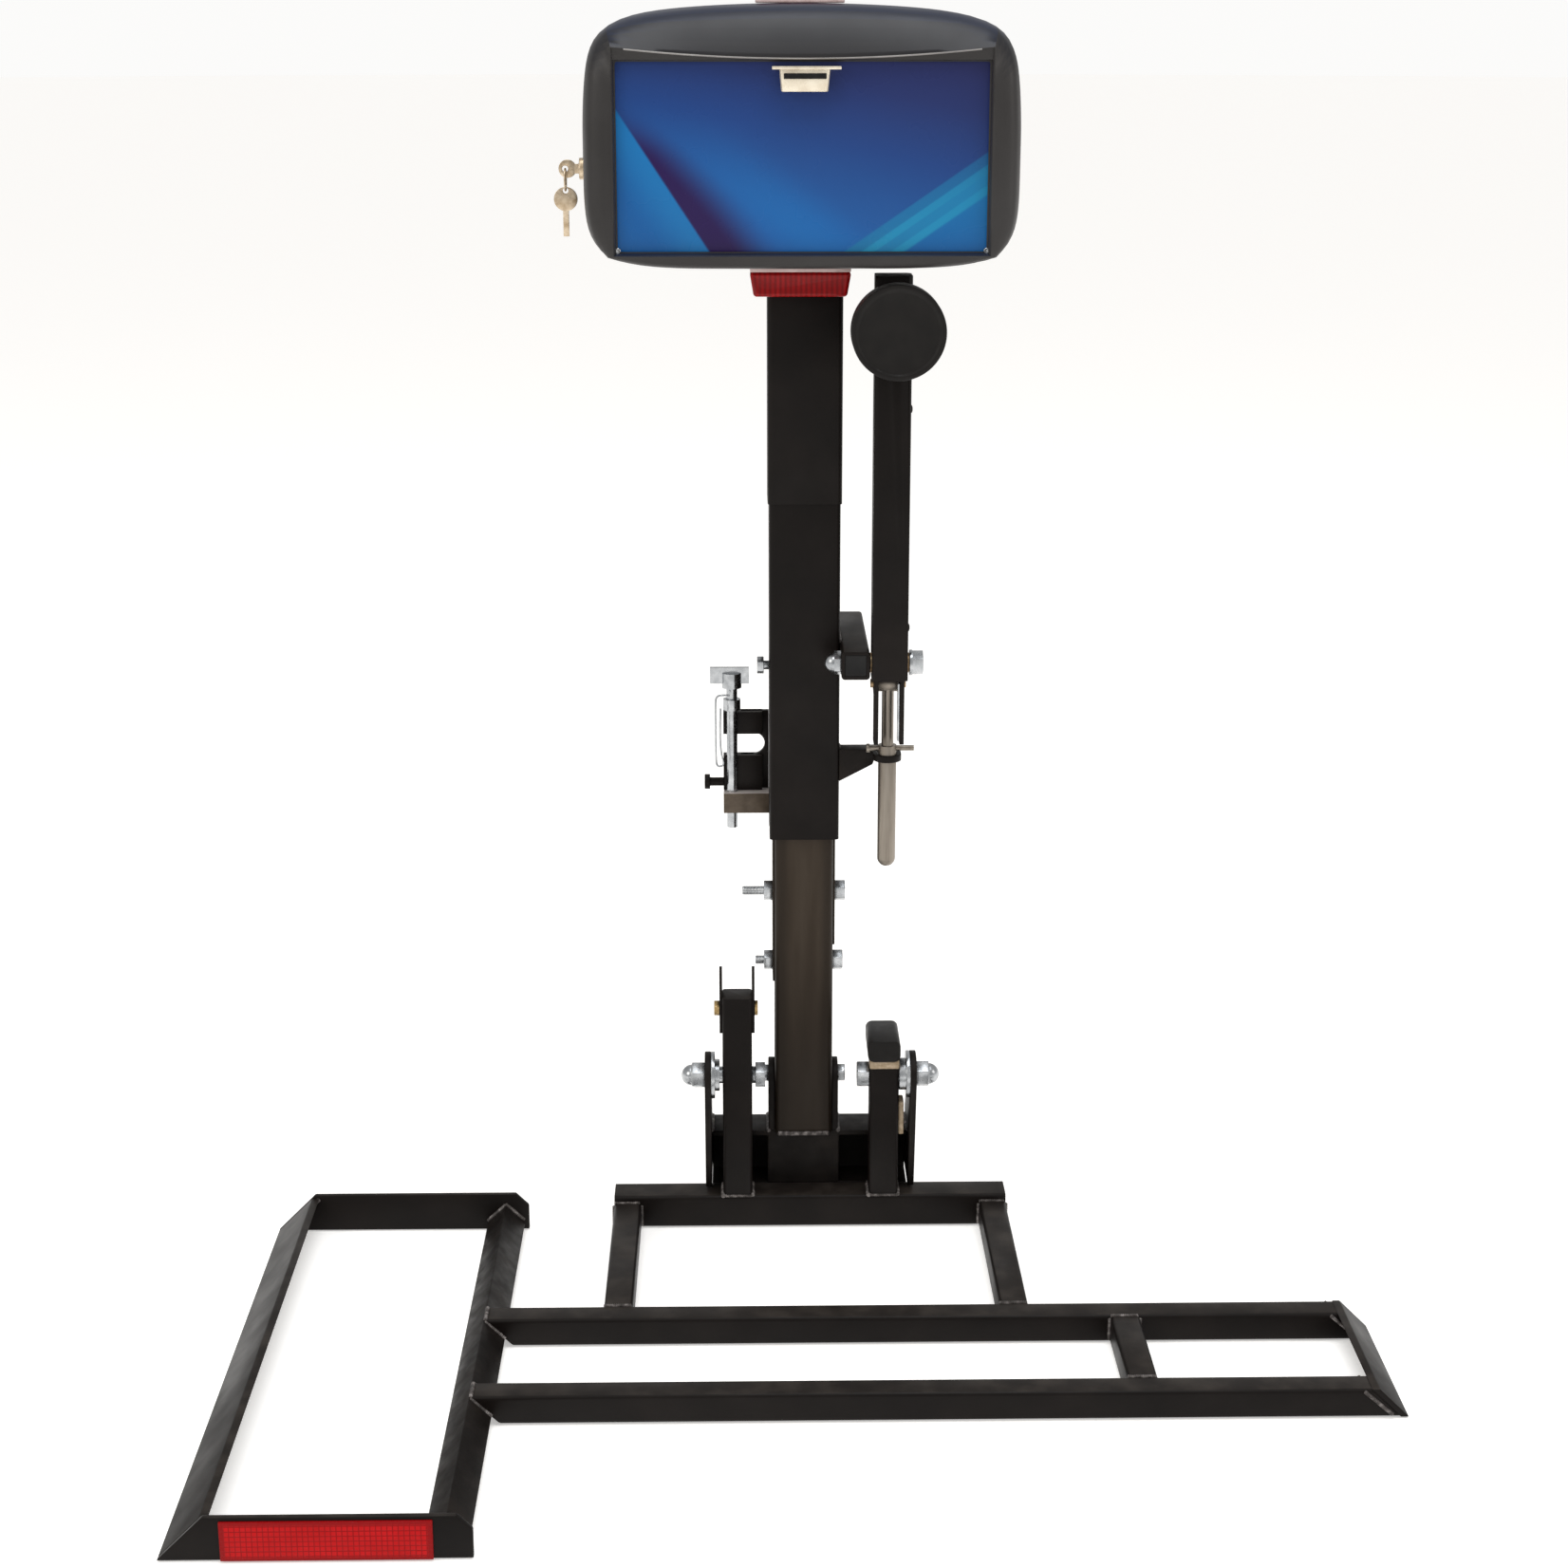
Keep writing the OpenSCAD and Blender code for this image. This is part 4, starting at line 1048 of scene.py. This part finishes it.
# %% Plate lamp
lamp_low, lamp_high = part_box("plate_lamp")
hood = block("lamp_hood", (lamp_low.x, lamp_low.y, lamp_high.z - 0.0026), lamp_high)
select_faces(hood, facing(2, -1))
press(0.0008, (0, 0, 0.0008))
done()
round_sharp(hood, 0.0006)
housing = block("lamp_housing", (lamp_low.x + 0.0058, lamp_low.y + 0.0020, lamp_low.z),
    (lamp_high.x - 0.0088, lamp_high.y, lamp_high.z - 0.0020))
select_faces(housing, facing(2, -1))
bpy.ops.transform.resize(value=(0.92, 0.85, 1), center_override=((lamp_low.x + lamp_high.x) / 2 - 0.0015,
    lamp_high.y, lamp_low.z))
done()
upright = 0.004
select_edges(housing, lambda edge: abs(edge.verts[0].co.x - edge.verts[1].co.x) < upright
    and abs(edge.verts[0].co.y - edge.verts[1].co.y) < upright)
bevel_picked(0.0028, 4)
round_sharp(housing, 0.0007)
lamp_piece = join("plate_lamp_housing", [hood, housing])
smooth(lamp_piece)
finish_piece(lamp_piece, "mast", "lamp_nickel", "lamp_nickel", ["plate_lamp"])
slot_low = Vector((lamp_low.x + 0.0095, lamp_low.y + 0.0012, lamp_high.z - 0.0098))
slot = block("lamp_slot", slot_low, slot_low + Vector((0.0345, 0.0030, 0.0044)))
select_faces(slot, facing(1, -1))
press(0.0007, (0, 0.0006, 0))
done()
ease_all(slot, 0.0004)
finish_piece(slot, "mast", "dark_slot", "black_plastic")
print("lamp made")

# %% [markdown]
# The two brake lights are the same kind of lens: a bar that narrows towards its free edge, with round
# corners and a raised border round a ribbed window. A thin pale base holds each to the head; its
# paleness is also a painted highlight along the light's edge. The upper lens points up, and the lower
# one points down from a thicker base.

# %% Brake lights
def lens(name, node, points, base_thick, squeeze):
    low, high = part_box(node)
    root, tip = (low.z, high.z) if points > 0 else (high.z, low.z)
    split = root + points * base_thick
    piece = block(name, (low.x, low.y, min(split, tip)), (high.x, high.y, max(split, tip)))
    select_faces(piece, facing(2, points))
    bpy.ops.transform.resize(value=(squeeze, 0.9, 1), center_override=((low.x + high.x) / 2,
        (low.y + high.y) / 2, 0))
    done()
    round_sharp(piece, 0.0028, 4)
    select_faces(piece, lambda face: face.normal.y < -0.9 and face.calc_area() > 0.0004)
    press(0.0022, (0, 0.0009, 0))
    done()
    ease_all(piece, 0.0003, 2, 30)
    finish_piece(piece, "mast", "red_lens", "red_lens", [node])
    inset = 0.0004
    base = block(name + "_base", (low.x + inset, low.y + inset, min(root, split)),
        (high.x - inset, high.y - inset, max(root, split)))
    ease_all(base, 0.0010, 3)
    # The base's pale finish also stands as a painted highlight along the light's edge.
    finish_piece(base, "mast", "pale_base", "black_plastic")


lens("upper_lens", "upper_light", 1, 0.0032, 0.87)
lens("lower_lens", "lower_light", -1, 0.0060, 0.92)
print("lights made")

# %% [markdown]
# ## The arm's pad
# The pad is a puck of moulded rubber on a stud. Its front is dished inside a rounded rim, and its back
# has a stepped hub. It is turned from a cylinder: faces are inset and pushed in or out, then the rings
# are rounded.

# %% Rubber pad
pad_low, pad_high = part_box("pad")
pad_middle = (pad_low + pad_high) / 2
puck = rod("rubber_pad", (pad_middle.x, pad_high.y, pad_middle.z), (pad_middle.x, pad_low.y, pad_middle.z),
    (pad_high.x - pad_low.x) / 2, 96)
select_faces(puck, facing(1, -1))
bpy.ops.mesh.inset(thickness=0.0040)
press(0.0016, (0, 0.0014, 0))
press(0.0180, (0, 0.0004, 0))
done()
select_faces(puck, facing(1, 1))
press(0.0120, (0, -0.0030, 0))
press(0.0100, (0, 0.0028, 0))
done()
ease_all(puck, 0.0018, 4, 30)
finish_piece(puck, "pad", "rubber", "rubber", ["pad"])
print(puck.name, len(puck.data.polygons), "faces")

# %% [markdown]
# ## Welds
# A weld is a row of overlapping ripples, like a fallen stack of coins. One coin is a squashed ball of
# few faces. An Array modifier lays it along the joint. All the welds of a body are joined into one
# piece.

# %% A row of ripples
def bead(start, end, radius, step=0.0017):
    start, end = Vector(start), Vector(end)
    way = (end - start).normalized()
    put_away()
    bpy.ops.mesh.primitive_uv_sphere_add(segments=8, ring_count=5, radius=radius, location=start,
        rotation=way.to_track_quat("Z", "Y").to_euler(), scale=(1, 1, 0.62))
    coin = settle(bpy.context.object, "bead")
    row = coin.modifiers.new("row", "ARRAY")
    row.use_relative_offset = False
    row.use_constant_offset = True
    row.constant_offset_displace = way * step
    row.count = max(2, int((end - start).length / step) + 1)
    bpy.ops.object.modifier_apply(modifier=row.name)
    return coin


def beads_along(points, radius):
    return [bead(start, end, radius) for start, end in zip(points, points[1:])]


def finish_welds(name, beads, body, slot):
    welds = join(name, beads)
    smooth(welds, 70)
    finish_piece(welds, body, "weld", slot)
    print(name, len(welds.data.polygons), "faces")


# %% [markdown]
# The joints of the platform: each upright on the cross tube, and each leg against the cross tube and
# the rear rail. The beads along a tube's top stop a millimetre short of its corners.

# %% Welds of the uprights and legs
short = 0.001
beads = []
cross_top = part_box("cross_tube")[1].z
for node in ("left_upright", "right_upright"):
    low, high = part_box(node)
    foot, near = cross_top + 0.0002, low.y + 0.0005
    beads += beads_along([(low.x, near, foot), (low.x, high.y, foot), (high.x, high.y, foot),
        (high.x, near, foot)], 0.0024)
    beads.append(bead((low.x + short, low.y + 0.0006, foot), (high.x - short, low.y + 0.0006, foot), 0.0017))
leg_low, leg_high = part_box("legs")
rear_low, rear_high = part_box("rear_rail")
leg_side = rear_high.z - rear_low.z
top = leg_high.z - 0.0004
for x in (leg_low.x, leg_high.x - leg_side):
    for y in (leg_low.y, leg_high.y):
        beads.append(bead((x + short, y, top), (x + leg_side - short, y, top), 0.0020))
    for side, y in ((x, leg_low.y), (x + leg_side, leg_low.y), (x, leg_high.y), (x + leg_side, leg_high.y)):
        beads.append(bead((side, y, leg_low.z + 0.003), (side, y, leg_high.z - 0.002), 0.0022))
print(len(beads), "rows so far")

# %% [markdown]
# Then the short crossbar between the rails, the rails at both ends, and the pan's corners.

# %% Welds of the crossbar, rails and pan
low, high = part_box("crossbar")
for y in (low.y, high.y):
    beads.append(bead((low.x + short, y, high.z - 0.0004), (high.x - short, y, high.z - 0.0004), 0.0019))
    for x in (low.x, high.x):
        beads.append(bead((x, y, low.z + 0.003), (x, y, high.z - 0.002), 0.0022))
for low, high in ((rear_low, rear_high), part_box("front_rail")):
    slope = leg_side * 0.68
    for y in (low.y, high.y):
        beads.append(bead((low.x + short, y, high.z - 0.002), (low.x + slope, y, high.z - slope), 0.0021))
    x = low.x + 0.0012
    beads.append(bead((x, low.y + 0.002, high.z), (x, high.y - 0.002, high.z), 0.0018))
    for y in (low.y, high.y):
        beads.append(bead((high.x - 0.0075, y, low.z + 0.003),
            (high.x - leg_side - 0.0055, y, high.z - 0.002), 0.0018))
low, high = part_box("ridge")
ramp_low, ramp_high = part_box("pan_ramp")
for y in (low.y + 0.0004, high.y - 0.0004):
    beads += beads_along([(low.x + short, y, low.z + 0.002), ((low.x + high.x) / 2, y, high.z),
        (high.x - short, y, low.z + 0.002)], 0.0021)
    beads.append(bead((ramp_low.x + 0.010, y, ramp_low.z + 0.003),
        (ramp_high.x - 0.0005, y, ramp_high.z - short), 0.0021))
finish_welds("platform_welds", beads, "platform", "black_paint")

# %% [markdown]
# The mast has welds as well: at the sleeve's lower edge, where the arm's bracket and the rod's guide
# meet the mast, and round the hitch bar. The carriage has them where its plates meet the channel.

# %% Mast and carriage welds
low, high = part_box("outer_mast")
sleeve_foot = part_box("mast_sleeve")[0].z
beads = []
for x in (low.x, high.x):
    beads.append(bead((x, low.y + 0.006, sleeve_foot), (x, high.y - 0.006, sleeve_foot), 0.0014))
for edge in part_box("arm_bracket"):
    beads.append(bead((high.x, low.y + 0.004, edge.z), (high.x, high.y - 0.004, edge.z), 0.0022))
guide_low, guide_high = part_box("guide_bracket")
beads.append(bead((high.x, guide_low.y + 0.030, guide_high.z), (high.x, guide_high.y, guide_high.z), 0.0019))
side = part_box("hitch_bar")[1].x
for x in (-side, side):
    beads.append(bead((x, high.y, -side + 0.004), (x, high.y, side - 0.004), 0.0030, 0.0024))
beads.append(bead((-side + 0.004, high.y, -side), (side - 0.004, high.y, -side), 0.0030, 0.0024))
finish_welds("mast_welds", beads, "mast", "black_paint")

low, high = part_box("base_channel")
foot_low, foot_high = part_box("foot_plates")
inner_low, inner_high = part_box("inner_mast")
top = high.z
beads = [bead((inner_low.x + 0.004, inner_low.y, top), (inner_high.x - 0.004, inner_low.y, top), 0.0024)]
for x in (foot_low.x, foot_high.x):
    beads.append(bead((x, foot_low.y, top), (x, foot_high.y, top), 0.0024))
for x in (low.x, high.x):
    beads.append(bead((x, low.y + 0.002, top), (x, high.y - 0.002, top), 0.0026))
finish_welds("carriage_welds", beads, "carriage", "dark_steel")

# %% [markdown]
# ## Small fittings
# The open ends of the tubes are closed with plastic plugs. A plug is a block whose outer face is inset
# and pressed in a little, with its edges rounded. It fits inside its tube's wall, just below the tube's
# end.

# %% End plugs
def plug(name, node, axis, out, wall, thick, body):
    low, high = [corner.copy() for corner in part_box(node)]
    ends = (low[axis] + 0.0003, low[axis] + thick) if out < 0 else (high[axis] - thick, high[axis] - 0.0003)
    for i in range(3):
        low[i], high[i] = ends if i == axis else (low[i] + wall, high[i] - wall)
    piece = block(name, low, high)
    select_faces(piece, facing(axis, out))
    press(0.0022, [-0.0008 * out if i == axis else 0 for i in range(3)])
    done()
    ease_all(piece, 0.0007, 3)
    finish_piece(piece, body, "black_plastic", "black_plastic")


for end, out in (("front", -1), ("back", 1)):
    plug("bracket_plug_" + end, "arm_bracket", 1, out, 0.0031, 0.0035, "mast")
for end, out in (("left", -1), ("right", 1)):
    plug("tube_plug_" + end, "cross_tube", 0, out, 0.0024, 0.0040, "platform")
print("four plugs")

# %% [markdown]
# Two rivets hold the arm's inner tube. A rivet is a low dome: a cylinder whose cap is inset and lifted
# twice. The lower one is a copy of the upper.

# %% Rivets
arm_low, arm_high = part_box("arm_tube")
upper_rivet, lower_rivet = 0.328, 0.134
centre = Vector((arm_high.x - 0.0002, (arm_low.y + arm_high.y) / 2, upper_rivet))
rivet = rod("rivet", centre, centre + Vector((0.0012, 0, 0)), 0.0036, 20)
select_faces(rivet, facing(0, 1))
press(0.0009, (0.0006, 0, 0))
press(0.0011, (0.0003, 0, 0))
done()
smooth(rivet, 60)
rivets = repeated("arm_rivets", rivet, [(0, 0, lower_rivet - upper_rivet)])
finish_piece(rivets, "hold_down_arm", "black_paint", "black_paint")
print("two rivets")

# %% [markdown]
# Bolt threads are rings: from a circle, extrude and widen, extrude and narrow, once for each turn. A
# true spiral would look the same at this size and cost more faces.

# %% Threads
def thread(start, end, radius, pitch=0.00125, root=0.93, lead=0.0004):
    start, end = Vector(start), Vector(end)
    way = (end - start).normalized()
    piece = rod("thread", start, start + way * lead, radius * root, 20)
    select_faces(piece, lambda face: face.normal.dot(way) > 0.9)
    for number in range(int((end - start).length / pitch)):
        for grow, part in ((1.0 / root, 0.5), (root, 1.0)):
            bpy.ops.mesh.extrude_region_move(TRANSFORM_OT_translate={"value": way * pitch / 2})
            bpy.ops.transform.resize(value=[1 if abs(way[i]) > 0.5 else grow for i in range(3)],
                center_override=start + way * (lead + pitch * (number + part)))
    press(radius * 0.2, way * 0.0003)
    done()
    smooth(piece, 20)
    return piece


bolt_low, bolt_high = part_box("cross_bolts")
axis_y = (bolt_low.y + bolt_high.y) / 2
threads = [thread((-0.0365, axis_y, ground + height), (end, axis_y, ground + height), 0.0042)
    for height, end in ((0.319, bolt_low.x + 0.0008), (0.250, -0.0446))]
finish_piece(join("cross_bolt_threads", threads), "carriage", "zinc", "zinc")
print("threads made")

# %% [markdown]
# A spring wire clip hangs on the clamp's lugs. A wire is a path with thickness, so its bends are drawn
# as a curve, given a round section, and made a mesh. Its ends are closed by the curve's own caps.

# %% Wire clip
def wire(name, points, radius, finish_name, slot):
    curve = bpy.data.curves.new(name, "CURVE")
    curve.dimensions = "3D"
    curve.bevel_depth = radius
    curve.bevel_resolution = 3
    curve.use_fill_caps = True
    curve.resolution_u = 6
    line = curve.splines.new("NURBS")
    line.points.add(len(points) - 1)
    for point, place in zip(line.points, points):
        point.co = (*place, 1)
    line.use_endpoint_u = True
    line.order_u = 3
    piece = bpy.data.objects.new(name, curve)
    bpy.context.scene.collection.objects.link(piece)
    pick(piece)
    bpy.ops.object.convert(target="MESH")
    smooth(bpy.context.object, 60)
    finish_piece(bpy.context.object, "mast", finish_name, slot)


x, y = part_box("clamp_bracket")[0].xy
wire("wire_clip", [(x + 0.006, y + 0.001, 0.052), (x - 0.002, y - 0.001, 0.053),
    (x - 0.0065, y - 0.001, 0.051), (x - 0.0072, y - 0.001, 0.044), (x - 0.0072, y, 0.020),
    (x - 0.0070, y + 0.001, -0.008), (x - 0.0064, y, -0.0148), (x - 0.0035, y - 0.001, -0.0160),
    (x + 0.001, y - 0.001, -0.0140), (x - 0.0022, y - 0.0014, -0.004), (x - 0.0034, y - 0.0014, 0.018),
    (x - 0.0024, y - 0.0012, 0.040)], 0.0009, "zinc", "zinc")
print("wire clip made")

# %% [markdown]
# The edge of the window under the brow catches the light as one fine line. A thin pale bead lies
# along it as a painted highlight: a wire again, through points of the window's own outline.

# %% Painted highlight along the window's lip
first_turn, sweep, parts = 47, 86, 30
on_lip = at_depth(-0.1330, on_window)
lip_points = [on_lip(math.radians(first_turn + sweep * number / parts)) - Vector((0, 0, 0.0002))
    for number in range(parts + 1)]
# The bead is a painted highlight along the lip.
wire("window_lip_highlight", lip_points, 0.0007, "painted_lip_highlight", "charcoal_plastic")
print("lip bead made")

# %% [markdown]
# The right cheek under the arm carries a bright wear strip, against which the rod's spring rubs. It is
# a thin block. An inset gives its front face a narrow border, and its edges are eased.

# %% Wear strip beside the rod
cheek_low, cheek_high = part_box("arm_cheeks")
strip = block("cheek_strip", (cheek_high.x - 0.0060, cheek_low.y + 0.006, cheek_low.z + 0.003),
    (cheek_high.x - 0.0042, cheek_low.y + 0.014, cheek_low.z + 0.056))
select_faces(strip, facing(1, -1))
bpy.ops.mesh.inset(thickness=0.0004)
done()
ease_all(strip, 0.0004)
finish_piece(strip, "hold_down_arm", "zinc", "zinc")
print("strip made")

# %% [markdown]
# ## The write-up of sizes
# Both boxes, the model's own and that of the looks, are printed before the end. The looks must
# stay inside the model's own box.

# %% Sizes and finish
low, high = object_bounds()
print("looks box in metres:", tuple(low), tuple(high))
